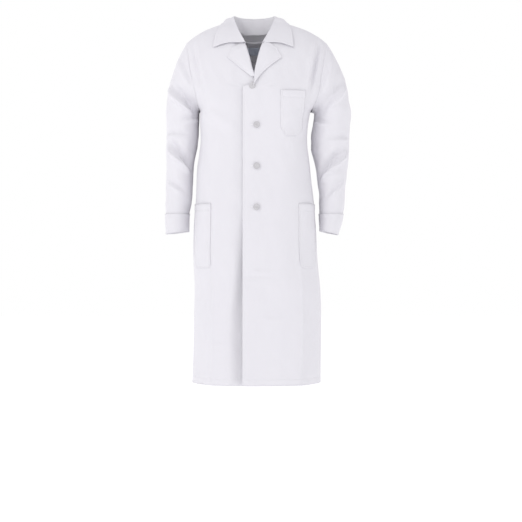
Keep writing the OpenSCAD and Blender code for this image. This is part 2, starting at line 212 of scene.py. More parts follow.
# %% Folds of the body
def folds(side, x, z):
    down = ease((-0.30 - z) / 0.75)
    lift = 0.0034 * noise.noise(Vector((x * 13, z * 6, side * 3.1)))
    lift += 0.0015 * noise.noise(Vector((x * 38 + z * 9, z * 21, side * 7.7)))
    if side < 0:
        calm = ease((abs(x) - 0.02) / 0.08)
        lift += 0.0042 * down * calm * math.sin(31 * x + 2.2 * z + 0.6)
        lift += 0.0022 * down * calm * math.sin(67 * x - 3.1 * z + 1.9)
        for press_x, height in ((0.1265, 0.0026), (-0.134, 0.0028)):
            lift += height * bump(x - press_x - 0.004 * math.sin(5 * z), 0.0034) * ease((-0.60 - z) / 0.1)
        for place, centre, reach, height in ((-0.742, 0.005, 0.045, 0.0026), (-0.757, -0.01, 0.035, -0.0022),
                                             (-0.768, 0.03, 0.050, 0.0020), (-0.880, 0.05, 0.040, 0.0018),
                                             (-0.955, -0.10, 0.045, 0.0018)):
            lift += height * bump(z - place + 0.06 * (x - centre), 0.0052) * bump(x - centre, reach)
        for sign in (-1, 1):
            along = (sign * x - 0.150) * 0.78 + (z + 0.270) * 0.62
            across = (sign * x - 0.150) * -0.62 + (z + 0.270) * 0.78
            lift += 0.0034 * bump(across - 0.010, 0.011) * bump(along + 0.03, 0.055)
            lift -= 0.0030 * bump(across + 0.018, 0.013) * bump(along + 0.035, 0.060)
        for sign, deep in ((-1, 0.0050), (1, 0.0105)):
            across = sign * x - 0.176 - 0.20 * (z + 0.13)
            lift -= deep * bump(across, 0.0062) * bump(z + 0.135, 0.075)
            lift += 0.6 * deep * bump(across + 0.014, 0.009) * bump(z + 0.125, 0.070)
    else:
        calm = ease((abs(x) - 0.01) / 0.05)
        waist = bump(z + 0.43, 0.11)
        lift += 0.0062 * down * calm * math.sin(36 * abs(x) - 1.5 * z + 2.4)
        lift += 0.0028 * down * calm * math.sin(74 * x + 2.0 * z)
        lift += 0.0030 * waist * math.sin(95 * abs(x) + 0.8) * ease((0.15 - abs(x)) / 0.05)
        lift += 0.0032 * bump(z + 0.330 + 0.30 * (abs(x) - 0.05), 0.016) * ease((abs(x) - 0.02) / 0.05)
        lift -= 0.0026 * bump(z + 0.372 + 0.26 * (abs(x) - 0.05), 0.015) * ease((abs(x) - 0.02) / 0.05)
        lift += 0.0028 * bump(abs(x) - 0.165 - 0.20 * (z + 0.15), 0.012) * bump(z + 0.15, 0.08)
    seam = ease((smooth(z, WIDTH) - abs(x)) / 0.028) if z < UNDERARM_Z else 1.0
    seam *= ease((smooth(abs(x), SHOULDER) - z) / 0.045)
    drift = 0.0026 * (1 - seam) * noise.noise(Vector((x * 4, z * 7, 0.5))) * ease((-0.08 - z) / 0.1)
    return lift * seam + drift


print("fold of the left front at the hem:", round(folds(-1, 0.1, HEM_Z) * 1000, 2), "mm")


# %% [markdown]
# The neck opening of the worn coat sits a little towards the wearer's right, and its sides hang a
# little uneven. `lean` moves both. The surface itself and its outward direction follow.

# %% The surface and points off it
SWAY = [(-0.225, 0), (-0.30, -0.007), (-0.435, -0.010), (-0.541, -0.006), (-0.668, -0.006), (-0.813, 0.003),
        (-1.072, -0.001)]
LEAN_X, LEAN_REACH = 0.0085, 0.14


def lean(p):
    p.x += smooth(p.z, SWAY) * ease((abs(p.x) - 0.055) / 0.10)
    share = ease((p.z + 0.20) / 0.06) if p.y < 0 else ease((p.z + 0.42) / 0.40)
    p.x -= LEAN_X * bump(p.x, LEAN_REACH) * share
    return p


def height(v):
    return UNDERARM_Z - v * (HEM_Z - UNDERARM_Z)


def height_v(z):
    return -(UNDERARM_Z - z) / (UNDERARM_Z - HEM_Z)


def half_width(v):
    return smooth(height(v), WIDTH) if v < 0 else smooth(v, YOKE_WIDTH)


def plain(side, a, v):
    e = smooth(v, ROUNDNESS)
    x = half_width(v) * signed_power(math.sin(a), e)
    z = height(v) if v < 0 else 0
    depth = smooth(min(z, UNDERARM_Z) if v < 0 else UNDERARM_Z, FRONT_DEPTH if side < 0 else BACK_DEPTH)
    y = side * depth * signed_power(math.cos(a), e)
    if v < 0:
        return Vector((x, y, z))
    rise = math.radians(90 * v)
    top = smooth(abs(x), SHOULDER)
    return Vector((x, y * math.cos(rise), UNDERARM_Z + (top - UNDERARM_Z) * math.sin(rise)))


def outward(side, a, v):
    da, dv = 0.006, 0.006
    ta = plain(side, a + da, v) - plain(side, a - da, v)
    tv = plain(side, a, v + dv) - plain(side, a, v - dv)
    return (ta.cross(tv) * -side).normalized()


def v_at(x, z):
    if z < UNDERARM_Z:
        return height_v(z)
    top = smooth(abs(x), SHOULDER)
    return math.degrees(math.asin(min(1, (z - UNDERARM_Z) / (top - UNDERARM_Z)))) / 90


def a_at(x, v):
    return math.asin(signed_power(max(-1, min(1, x / half_width(v))), 1 / smooth(v, ROUNDNESS)))


def armhole_x(v):
    return 0.166 + 0.045 * max(0, math.sin(math.radians(90 * v))) ** 0.6


print("chest front at", tuple(round(c, 3) for c in plain(-1, 0, v_at(0, -0.3))))

# %% [markdown]
# ## Making a piece of cloth
#
# A piece of cloth starts as a flat grid, as it leaves the cutting table, and every crossing of the
# grid is then laid on the form. Its UV map keeps the cloth's own measure, so the weave is the same
# size everywhere. Solidify gives it thickness. Rows and columns can be closer together where a seam
# or an edge needs them.

# %% Cloth pieces
CLOTH_T = 0.0009
scene = bpy.context.scene
pieces = {}


def link(name, mesh):
    piece = bpy.data.objects.new(name, mesh)
    scene.collection.objects.link(piece)
    pieces[name] = piece
    return piece


def shade(piece):
    for face in piece.data.polygons:
        face.use_smooth = True


def lay_uv(mesh, cols, rows, points):
    """A UV map in metres of cloth: along each row and down the middle column."""
    grid = points.reshape(rows, cols, 3)
    along = np.cumsum(np.linalg.norm(np.diff(grid, axis=1), axis=2), axis=1)
    along = np.concatenate([np.zeros((rows, 1)), along], axis=1)
    along -= along[:, cols // 2: cols // 2 + 1]
    middle = grid[:, cols // 2]
    down = np.concatenate([[0], np.cumsum(np.linalg.norm(np.diff(middle, axis=0), axis=1))])
    uv = np.stack([along, np.repeat(down[:, None], cols, axis=1)], axis=2).reshape(-1, 2)
    layer = mesh.uv_layers.new(name="cloth")
    index = np.zeros(len(mesh.loops), np.int32)
    mesh.loops.foreach_get("vertex_index", index)
    layer.data.foreach_set("uv", uv[index].astype(np.float32).ravel())


def cloth(name, us, vs, place, thickness=CLOTH_T, flip=False, ring=False):
    """A cloth whose grid crossing (u, v) lies at place(u, v). A ring has its end columns sewn together."""
    cols, rows = len(us), len(vs)
    bm = bmesh.new()
    bmesh.ops.create_grid(bm, x_segments=cols - 1, y_segments=rows - 1, size=0.5)
    for k, vert in enumerate(bm.verts):
        vert.co = place(us[k % cols], vs[k // cols])
    points = np.array([tuple(vert.co) for vert in bm.verts])
    if flip:
        bmesh.ops.reverse_faces(bm, faces=bm.faces)
    mesh = bpy.data.meshes.new(name)
    bm.to_mesh(mesh)
    bm.free()
    lay_uv(mesh, cols, rows, points)
    if ring:
        sew = bmesh.new()
        sew.from_mesh(mesh)
        bmesh.ops.remove_doubles(sew, verts=sew.verts, dist=1e-6)
        sew.to_mesh(mesh)
        sew.free()
    piece = link(name, mesh)
    shade(piece)
    if thickness:
        solid = piece.modifiers.new("thickness", "SOLIDIFY")
        solid.thickness = thickness
        solid.offset = -1
        solid.use_even_offset = False
    return piece


def dense(a, b, count, marks=(), reach=0.004):
    """Values from a to b, with extra ones beside each mark, so that a stitched groove has its shape."""
    values = set(steps(a, b, count))
    for mark in marks:
        for d in (-reach, -reach / 2, 0, reach / 2, reach):
            if min(a, b) < mark + d < max(a, b):
                values.add(mark + d)
    ordered = sorted(values, reverse=a > b)
    kept = [ordered[0]]
    for value in ordered[1:]:
        if abs(value - kept[-1]) > 0.0006 or value == ordered[-1]:
            kept.append(value)
    return kept


print("cloth", round(CLOTH_T * 1000, 1), "mm thick")

# %% [markdown]
# A topstitched seam pulls the cloth down along its line and leaves a small roll of cloth at the
# edge. `groove` is that hollow, across a seam at a distance from the edge, and `roll` the soft
# swelling beside it.

# %% Seam relief
STITCH_FROM_EDGE = 0.0065
GROOVE_DEEP = 0.0007
GROOVE_WIDE = 0.0016


def groove(distance):
    return -GROOVE_DEEP * bump(distance, GROOVE_WIDE)


def roll(distance):
    """Relief against the distance from a stitched edge: raised double cloth, a groove, then plain cloth."""
    raised = 0.0004 * ease(1 - (distance - STITCH_FROM_EDGE) / 0.003)
    return raised + groove(distance - STITCH_FROM_EDGE)


print("deepest in a groove:", round(groove(0) * 1000, 2), "mm")

# %% [markdown]
# ## Fronts
#
# Each front is one cloth from the shoulder to the hem. The wearer's left front closes over the
# right one, and both pass the centre line by the same overlap. Above the break the front follows
# the roll line of the lapel. The lower front is tucked inwards where the upper one covers it.

# %% Front panels
ROLL = [(BREAK_Z, -0.0105), (-0.183, -0.006), (-0.152, 0.002), (-0.087, 0.0185), (-0.043, 0.037),
        (0.003, 0.061)]
TUCK = 0.0042
TROUGH = [(-0.56, 0.0), (-0.66, 0.006), (-0.80, 0.0125), (-0.95, 0.012), (-1.072, 0.009)]
TROUGH_X = [(-0.56, 0.040), (-0.75, 0.046), (-0.90, 0.060), (-1.072, 0.058)]


def front_edge(z):
    return smooth(z, ROLL) if z > BREAK_Z else -OVERLAP


def tuck(x, z):
    """How far the lower front lies under the upper one. Below the last button it swings inwards."""
    swing = smooth(z, TROUGH) * (1 - ease((x - smooth(z, TROUGH_X) + 0.008) / 0.034))
    return TUCK * (1 - ease((x - OVERLAP - 0.004) / 0.030)) + swing


def mirrored(p):
    return Vector((-p.x, p.y, p.z))


HEM_STITCH = 0.020
EDGE_OFFSETS = [0, 0.002, 0.0045, 0.0058, 0.0068, 0.008, 0.010, 0.014, 0.020, 0.028, 0.036, 0.044, 0.052,
                0.060]
FRONT_COLS = 44


def front_rows():
    low = [height_v(z) for z in dense(HEM_Z, UNDERARM_Z, 108, (HEM_Z + HEM_STITCH,))]
    return low[:-1] + steps(0, v_at(0, BREAK_Z), 6)[:-1] + steps(v_at(0, BREAK_Z + 0.0005), 1, 40)


def row_height(v):
    return height(v) if v < 0 else UNDERARM_Z + (0.009 - UNDERARM_Z) * math.sin(math.radians(90 * v))


def side_relief(x, v):
    """The last few millimetres before the side and armhole seams sink into the seam."""
    edge = half_width(v) if v < 0 else armhole_x(v)
    return -0.0008 * bump(edge - x, 0.0026)


def front_point(left, u, v):
    """Up to the last edge offset, column u is a distance from the edge; beyond it, a share of the angle."""
    z = row_height(v)
    start = front_edge(z)
    near = len(EDGE_OFFSETS) - 1
    if u <= near:
        low = int(min(u, near - 1))
        x = start + EDGE_OFFSETS[low] + (EDGE_OFFSETS[low + 1] - EDGE_OFFSETS[low]) * (u - low)
        a = a_at(x, v)
    else:
        a0 = a_at(start + EDGE_OFFSETS[near], v)
        a1 = math.radians(90) if v < 0 else a_at(armhole_x(v), v)
        a = a0 + (a1 - a0) * (u - near) / FRONT_COLS
        x = plain(-1, a, v).x
    relief = roll(x - start) if z < BREAK_Z else 0.0
    relief += groove(z - (HEM_Z + HEM_STITCH)) + side_relief(x, v)
    if left and z < BREAK_Z:
        relief += 0.0007 * ease((0.006 - x) / 0.005)
    sunk = 0 if left else tuck(x, z)
    place = plain(-1, a, v)
    world_x = place.x if left else -place.x
    normal = outward(-1, a, v)
    p = place + normal * (relief - sunk + folds(-1, world_x, place.z))
    return lean(p if left else mirrored(p))


def front_panel(left):
    name = ("left" if left else "right") + "_front"
    us = list(range(len(EDGE_OFFSETS))) + [len(EDGE_OFFSETS) - 1 + k for k in range(1, FRONT_COLS + 1)]
    return cloth(name, us, front_rows(), lambda u, v: front_point(left, u, v), flip=not left)


left_front = front_panel(True)
front_panel(False)
print("front panels:", len(left_front.data.vertices), "points each")

# %% [markdown]
# ## Back
#
# The back is cut in two halves, sewn down the middle. Below the vent the wearer's right half lies
# on an underlap that belongs to the left one. Each half ends in the side seam, the armhole and the
# neck.

# %% Back panels
VENT_TOP_Z = -0.700
BACK_COLS = 40


def back_rows():
    low = [height_v(z) for z in dense(HEM_Z, UNDERARM_Z, 92, (HEM_Z + HEM_STITCH,))]
    return low[:-1] + steps(0, 0.70, 28) + [0.703, 0.707, 0.712, 0.717] + steps(0.72, 1, 18)


NECK_LOW, NECK_FLAT, NECK_RISE = 0.70, 0.030, 0.050


def neck_stop(v):
    """Half width of the neck hole at the back: none below the neck seam."""
    if v <= NECK_LOW:
        return 0.0
    if v < NECK_LOW + 0.02:
        return NECK_FLAT * math.sqrt((v - NECK_LOW) / 0.02)
    share = min(1.0, (v - NECK_LOW - 0.02) / 0.276)
    return NECK_FLAT + NECK_RISE * (0.5 - math.sin(math.asin(1 - 2 * share) / 3))


def neck_top(x):
    """Height of the neck seam at the back, against the distance from the centre."""
    v = NECK_LOW + 0.016 + 0.276 * ease((abs(x) - NECK_FLAT) / NECK_RISE)
    return UNDERARM_Z + (smooth(abs(x), SHOULDER) - UNDERARM_Z) * math.sin(math.radians(90 * min(1, v)))


def back_point(left, u, v):
    z = row_height(v)
    below = ease((VENT_TOP_Z + 0.02 - z) / 0.02)
    reach = 0.0 if left else 0.004 * below
    start = neck_stop(v)
    share = u / BACK_COLS
    a0 = a_at(start, v) if start > 0 else 0.0
    a1 = math.radians(90) if v < 0 else a_at(armhole_x(v), v)
    a = a0 + (a1 - a0) * share
    if reach:
        a -= reach / half_width(v) * (1 - share) ** 3
    p = plain(1, abs(a), v)
    x = p.x if a >= 0 else -p.x
    world_x = x if left else -x
    seam = -0.0012 * bump(x, 0.0022) * (1 - below) + side_relief(x, v) + groove(z - (HEM_Z + HEM_STITCH))
    seam += groove(abs(x) - STITCH_FROM_EDGE)
    sunk = 0.0 if left else -0.0016 * below * ease((0.030 - x) / 0.024)
    normal = outward(1, abs(a), v)
    if a < 0:
        normal.x = -normal.x
    q = Vector((x, p.y, p.z)) + normal * (seam - sunk + folds(1, world_x, p.z))
    return lean(q if left else mirrored(q))


def back_panel(left):
    us = [0, 0.4, 0.9, 1.3, 1.6, 1.9, 2.4] + list(range(3, BACK_COLS + 1))
    name = ("left" if left else "right") + "_back"
    return cloth(name, us, back_rows(), lambda u, v: back_point(left, u, v), flip=left)


left_back = back_panel(True)
back_panel(False)
print("back panels:", len(left_back.data.vertices), "points each")

# %% [markdown]
# ## Sleeves
#
# A sleeve is a ring of cloth drawn along a path. The first ring is the armhole itself. From there
# the rings fan out around the underarm, where the cloth is gathered, and then run down the arm to
# the cuff seam. `sleeve_ring` gives a ring by its distance along the path, `q` runs round it from
# the outer side over the front.

# %% Sleeve shape
PIVOT_X, PIVOT_Z = 0.169, -0.266
FAN = {1: [(0, 0.110), (12, 0.1104), (40, 0.1274), (60, 0.1624), (77, 0.212)],
       -1: [(0, 0.099), (12, 0.1005), (42, 0.122), (64.6, 0.170), (77, 0.210)]}
OUTER = {1: [(-0.262, 0.2785), (-0.324, 0.279), (-0.388, 0.277), (-0.515, 0.2665), (-0.586, 0.256),
             (-0.626, 0.2415)],
         -1: [(-0.262, 0.268), (-0.345, 0.274), (-0.586, 0.274), (-0.626, 0.272)]}
INNER = {1: [(-0.262, 0.169), (-0.32, 0.164), (-0.37, 0.165), (-0.41, 0.173), (-0.47, 0.184),
             (-0.514, 0.189), (-0.57, 0.1885), (-0.626, 0.190)],
         -1: [(-0.262, 0.174), (-0.344, 0.178), (-0.435, 0.190), (-0.530, 0.197), (-0.586, 0.205),
              (-0.626, 0.206)]}
SLEEVE_DEPTH = [(-0.262, 0.070), (-0.345, 0.066), (-0.42, 0.060), (-0.57, 0.050), (-0.626, 0.049)]
SLEEVE_MID_Y = [(-0.262, 0.002), (-0.42, 0.004), (-0.626, -0.018)]
FAN_END = 77.0


def armhole_point(q, side_x):
    """A point of the armhole edge: q is 0 at the shoulder, and its sine is negative on the front."""
    share = (1 + math.cos(q)) / 2
    v = math.degrees(math.asin(min(1.0, max(0.0, share)))) / 90
    side = -1 if math.sin(q) < 0 else 1
    a = a_at(armhole_x(v), v)
    p = plain(side, a, v)
    p += outward(side, a, v) * (folds(side, p.x * side_x, p.z) - 0.0008)
    return lean(Vector((p.x * side_x, p.y, p.z)))


def fan_point(q, angle, side_x):
    out = 0.004 + smooth(angle, FAN[side_x])
    mid, half = (out + 0.004) / 2, (out - 0.004) / 2
    depth = 0.070 + 0.014 * ease(angle / FAN_END)
    r = mid + half * math.cos(q)
    t = math.radians(angle)
    x, z = PIVOT_X + r * math.cos(t), PIVOT_Z + r * math.sin(t)
    return Vector((side_x * x, 0.002 + depth * math.sin(q), z))


def arm_point(q, z, side_x):
    out, inner = smooth(z, OUTER[side_x]), smooth(z, INNER[side_x])
    x = (out + inner) / 2 + (out - inner) / 2 * math.cos(q)
    return Vector((side_x * x, smooth(z, SLEEVE_MID_Y) + smooth(z, SLEEVE_DEPTH) * math.sin(q), z))


def sleeve_plain(q, s, side_x):
    """s is 0 at the armhole, 1 where the fan ends level, and 2 at the cuff seam."""
    if s <= 1:
        first = armhole_point(q, side_x)
        fan = fan_point(q, FAN_END * (1 - s), side_x)
        t = ease(s / 0.42)
        return first.lerp(fan, t) if t < 1 else fan
    z = PIVOT_Z + (s - 1) * (CUFF_TOP_Z - PIVOT_Z)
    ring = arm_point(q, z, side_x)
    if s < 1.25:
        t = ease((s - 1) / 0.25)
        ring = fan_point(q, 0, side_x).lerp(ring, t) + Vector((0, 0, z - PIVOT_Z)) * (1 - t)
    return ring


print("sleeve from", round(PIVOT_Z, 3), "down to", round(CUFF_TOP_Z, 3))

# %% [markdown]
# The worn sleeve has folds: pull lines that run down from the front of the armhole, a fold across
# the upper arm, and crossed creases at the elbow. Each is a soft ridge along a short line on the
# sleeve, `(q, z)` to `(q, z)`, with a hollow beside it.

# %% Sleeve folds
def crease(q, z, q0, z0, q1, z1, height, width, radius=0.055):
    """Relief of one fold between two places, angles in degrees and heights in metres."""
    ax, az = math.radians(q0) * radius, z0
    bx, bz = math.radians(q1) * radius, z1
    turn = (math.degrees(q) - (q0 + q1) / 2 + 180) % 360 - 180 + (q0 + q1) / 2
    px, pz = math.radians(turn) * radius, z
    dx, dz = bx - ax, bz - az
    length = math.hypot(dx, dz)
    along = ((px - ax) * dx + (pz - az) * dz) / length
    across = ((px - ax) * dz - (pz - az) * dx) / length
    run = 2 * width + 0.25 * length
    fade = ease((along + width) / run) * ease((length + width - along) / run)
    below = across if dx > 0 else -across
    crest = bump(below, 1.25 * width) if below < 0 else bump(below, 0.62 * width)
    return 1.25 * height * fade * (crest - 0.90 * bump(below - 0.95 * width, 0.72 * width))


SLEEVE_FOLDS = {
    1: [(-44, -0.085, -124, -0.205, 0.0150, 0.013), (-34, -0.170, -120, -0.258, 0.0110, 0.012),
        (-22, -0.338, -105, -0.345, 0.0040, 0.009), (-34, -0.372, -150, -0.460, 0.0140, 0.013),
        (-40, -0.460, -120, -0.515, 0.0050, 0.012), (60, -0.120, 140, -0.230, 0.0090, 0.013),
        (40, -0.200, 130, -0.280, 0.0070, 0.012), (20, -0.400, 120, -0.440, 0.0065, 0.012),
        (40, -0.360, 150, -0.395, 0.0055, 0.011), (-100, -0.300, -170, -0.285, 0.0040, 0.009)],
    -1: [(-34, -0.182, -142, -0.270, 0.0155, 0.013), (-38, -0.100, -118, -0.190, 0.0070, 0.012),
         (-20, -0.326, -120, -0.332, 0.0045, 0.009), (-34, -0.350, -150, -0.440, 0.0145, 0.013),
         (-36, -0.462, -120, -0.500, 0.0045, 0.012), (55, -0.130, 140, -0.235, 0.0090, 0.013),
         (35, -0.210, 130, -0.285, 0.0070, 0.012), (20, -0.390, 125, -0.425, 0.0060, 0.012),
         (-95, -0.290, -170, -0.275, 0.0040, 0.009)]}


def sleeve_point(q, s, side_x):
    p = sleeve_plain(q, s, side_x)
    dq, ds = 0.02, 0.006
    tq = sleeve_plain(q + dq, s, side_x) - sleeve_plain(q - dq, s, side_x)
    ts = sleeve_plain(q, min(2.0, s + ds), side_x) - sleeve_plain(q, max(0.0, s - ds), side_x)
    normal = (tq.cross(ts) * side_x).normalized()
    if normal.length < 0.5:
        normal = Vector((side_x, 0, 0))
    free = ease((s - 0.10) / 0.25)
    z = p.z
    lift = 0.0
    for q0, z0, q1, z1, high, wide in SLEEVE_FOLDS[side_x]:
        lift += crease(q, z, q0, z0, q1, z1, high, wide)
    under = bump((math.degrees(q) % 360) - 180, 38) * bump(s - 0.9, 0.30)
    lift += 0.0034 * noise.noise(Vector((p.x * 17, p.y * 17, z * 13 + 5 * side_x)))
    lift += 0.0013 * noise.noise(Vector((p.x * 44, p.y * 44, z * 38)))
    lift *= free * (1 - 0.8 * under) * ease((2.0 - s) / 0.12)
    lift -= 0.0006 * bump(s - 2.0, 0.012)
    return p + normal * lift


def sleeve_rows():
    return [0, 0.012, 0.028, 0.045] + steps(0.065, 1, 44) + steps(1, 2, 92)[1:-3] + [1.975, 1.988, 2.0]


sleeve_q = [math.radians(d) for d in steps(0, 360, 112)]
for side_x, side_name in ((1, "left"), (-1, "right")):
    cloth(side_name + "_sleeve_cloth", sleeve_q, sleeve_rows(), lambda q, s: sleeve_point(q, s, side_x),
          flip=side_x < 0, ring=True)
print("sleeves:", len(pieces["left_sleeve_cloth"].data.vertices), "points each")

# %% [markdown]
# ## Facings, lapels and pockets
#
# Everything sewn onto a half of the coat lies on the same cloth, so `lie` gives a point held off
# it. `x` runs from the centre towards the side of that half. A negative distance is inside the
# coat.

# %% Points on the sewn coat
def lie(side, left, x, z, off=0.0):
    v = v_at(x, z)
    a = a_at(x, v)
    p = plain(side, a, v)
    sunk = 0.0 if left or side > 0 else tuck(p.x, p.z)
    q = p + outward(side, a, v) * (off - sunk + folds(side, p.x if left else -p.x, p.z))
    return lean(q if left else mirrored(q))


def band(name, side, left, zs, inner, outer, off, cols=10, thickness=CLOTH_T):
    """A strip on one half between two edges, each a function of height."""
    return cloth(name, steps(0, 1, cols), zs,
                 lambda s, z: lie(side, left, inner(z) + (outer(z) - inner(z)) * s, z, off),
                 thickness, flip=(side < 0) != left)


FACING_WIDE = 0.072
FACING_OFF = -(CLOTH_T + 0.0007)


def facing_reach(z):
    """The inner edge of a front facing, which narrows above the break."""
    return front_edge(z) + (FACING_WIDE - 0.028 * ease((z - BREAK_Z) / 0.15))


facing_rows = steps(HEM_Z + 0.003, BREAK_Z, 90) + steps(BREAK_Z + 0.002, -0.012, 26)
for left in (True, False):
    side_name = "left" if left else "right"
    band(side_name + "_facing", -1, left, facing_rows,
         lambda z: front_edge(z) + 0.0015, facing_reach, FACING_OFF)
band("front_interlining", -1, True, steps(-0.57, -0.215, 30), lambda z: -OVERLAP + 0.003, lambda z: 0.026,
     -CLOTH_T - 0.0003, 6, 0.0002)
band("vent_underlap", 1, True, steps(HEM_Z + 0.004, VENT_TOP_Z, 30), lambda z: -0.038, lambda z: 0.036,
     -CLOTH_T - 0.0007, 14)
print("facings and inner layers made")

# %% [markdown]
# A lapel is the top of a front, turned out along the roll line. Its edge runs from the break to a
# tip, and from the tip along the notch to the gorge, which the collar covers. The right lapel
# starts higher, behind the left one.

# %% Lapels
LAPEL_EDGE = [(-0.1996, -0.0105), (-0.183, 0.0025), (-0.164, 0.020), (-0.139, 0.0486), (-0.113, 0.080)]
NOTCH_X, NOTCH_Z = 0.064, -0.081
TIP_X, TIP_Z = 0.080, -0.113
LAPEL_LOW = {True: BREAK_Z + 0.0015, False: -0.172}
GORGE_Z = -0.060
TIP_T = 0.82


def lapel_place(left, s, t, off=0.0):
    """s runs from the roll line to the outer edge, t from the break up to the gorge under the collar."""
    low = LAPEL_LOW[left]
    z_roll = low + (GORGE_Z - low) * t
    if t < TIP_T:
        z_edge = low + (TIP_Z - low) * (t / TIP_T)
        x_edge = smooth(z_edge, LAPEL_EDGE)
    else:
        k = (t - TIP_T) / 0.18
        x_edge, z_edge = TIP_X + (NOTCH_X - TIP_X) * k, TIP_Z + (NOTCH_Z - TIP_Z) * k
    x_roll = smooth(z_roll, ROLL)
    x = x_roll + (x_edge - x_roll) * s
    z = z_roll + (z_edge - z_roll) * s
    reach = math.hypot(x_edge - x_roll, z_edge - z_roll)
    d = reach * s
    lift = 0.0052 * (1 - math.exp(-d / 0.0016)) * math.exp(-d / 0.016) + 0.0020 * min(1, d / 0.002)
    lift += 0.0020 * math.sin(math.pi * s) ** 2 * min(1, reach / 0.03) + (0.0010 if left else 0.0)
    lift *= 1 - 0.45 * ease((t - 0.84) / 0.14)
    edge = min(reach * (1 - s), 0.03 * (1 - t) / 0.18 + 0.001 if t > TIP_T else 1.0)
    return lie(-1, left, x, z, off + lift + roll(edge))


def lapel(left):
    shares = [0, 0.02, 0.05, 0.09, 0.14] + steps(0.2, 0.8, 12)
    shares += [0.84, 0.87, 0.89, 0.91, 0.93, 0.95, 0.97, 0.985, 1]
    name = ("left" if left else "right") + "_lapel_cloth"
    rows = steps(0, 0.8, 40) + [TIP_T] + steps(0.84, 1, 8)
    return cloth(name, shares, rows, lambda s, t: lapel_place(left, s, t), 0.0017, flip=not left)


lapel(True)
lapel(False)
print("lapels:", len(pieces["left_lapel_cloth"].data.vertices), "points each")

# %% [markdown]
# ## Pockets
#
# A patch pocket is a flat cut with its lower corners cut off, sewn down on three sides, with a
# folded band along its mouth. It stands a little away from the coat in the middle.

# %% Patch pockets
MOUTH_BAND = 0.021


def pocket_x(s, z, x0, x1, low, corner):
    k = corner * max(0.0, 1 - (z - low) / (corner * 1.35))
    return x0 + k + (x1 - x0 - 2 * k) * s


def pocket_place(left, s, t, x0, x1, top, low, corner, lift, off=0.0):
    z = low + (top - low) * t
    x = pocket_x(s, z, x0, x1, low, corner)
    edge = min(min(s, 1 - s) * (x1 - x0), z - low)
    full = lift * math.sin(math.pi * s) ** 1.5 * ease(t * 1.6)
    hem = 0.0005 * ease((z - top + MOUTH_BAND) / 0.002)
    return lie(-1, left, x, z, off + 0.0010 + full + roll(edge) + hem + groove(z - top + MOUTH_BAND))


def pocket(name, left, x0, x1, top, low, corner, lift):
    wide, tall = x1 - x0, top - low
    ms = [STITCH_FROM_EDGE / wide, 1 - STITCH_FROM_EDGE / wide]
    mt = [STITCH_FROM_EDGE / tall, 1 - MOUTH_BAND / tall]
    us = dense(0, 1, 18, ms, GROOVE_WIDE / wide * 2)
    vs = dense(0, 1, 30, mt, GROOVE_WIDE / tall * 2)
    return cloth(name, us, vs, lambda s, t: pocket_place(left, s, t, x0, x1, top, low, corner, lift), 0.0011,
                 flip=not left)


CHEST = (0.070, 0.142, -0.2105, -0.344, 0.017, 0.0018)
HIP = (0.128, 0.1785, -0.541, -0.731, 0.008, 0.0022)
pocket("chest_pocket_cloth", True, *CHEST)
pocket("left_hip_pocket_cloth", True, *HIP)
pocket("right_hip_pocket_cloth", False, *HIP)
print("pockets made")

# %% [markdown]
# ## Collar
#
# The collar stands up from the neck seam, rolls over along its fold and falls to its outer edge.
# The three lines are given from the middle of the back (0) to the front (1); the left half mirrors
# the right. Between the fold and the edge the leaf is slightly crowned. `collar_place` runs from
# the neck seam (-1) over the fold (0) to the edge (1).

# %% Collar
FOLD_X = [(0, 0), (0.2, 0.034), (0.4, 0.057), (0.55, 0.0625), (0.75, 0.050), (1, 0.025)]
FOLD_Y = [(0, 0.066), (0.2, 0.058), (0.4, 0.031), (0.55, -0.002), (0.75, -0.059), (1, -0.109)]
FOLD_Z = [(0, 0.037), (0.4, 0.038), (0.55, 0.030), (0.75, -0.012), (1, -0.066)]
EDGE_X = [(0, 0), (0.2, 0.042), (0.4, 0.077), (0.55, 0.095), (0.75, 0.107), (1, 0.114)]
EDGE_Y = [(0, 0.083), (0.2, 0.077), (0.4, 0.047), (0.55, 0.012), (0.75, -0.053), (1, -0.108)]
EDGE_LINE_Z = [(0, -0.021), (0.2, -0.017), (0.4, -0.002), (0.55, 0.009), (0.75, -0.016), (1, -0.080)]
BASE_X = [(0, 0), (0.2, 0.031), (0.4, 0.052), (0.55, 0.058), (0.75, 0.046), (1, 0.023)]
BASE_Y = [(0, 0.0545), (0.2, 0.0525), (0.4, 0.029), (0.55, -0.003), (0.75, -0.050), (1, -0.094)]
BASE_Z = [(0, -0.021), (0.2, -0.018), (0.4, -0.002), (0.55, 0.008), (0.75, -0.022), (1, -0.074)]
FOLD_R, FOLD_T = 0.0065, 0.16
LEAF_LONG, LEAF_SIDE = 0.078, 0.16


def line_at(u, xs, ys, zs):
    k = abs(u)
    wider = 0.012 * ease((k - 0.6) / 0.4) if u < 0 and xs is EDGE_X else 0.0
    return Vector((math.copysign(smooth(k, xs) + wider, u), smooth(k, ys), smooth(k, zs)))


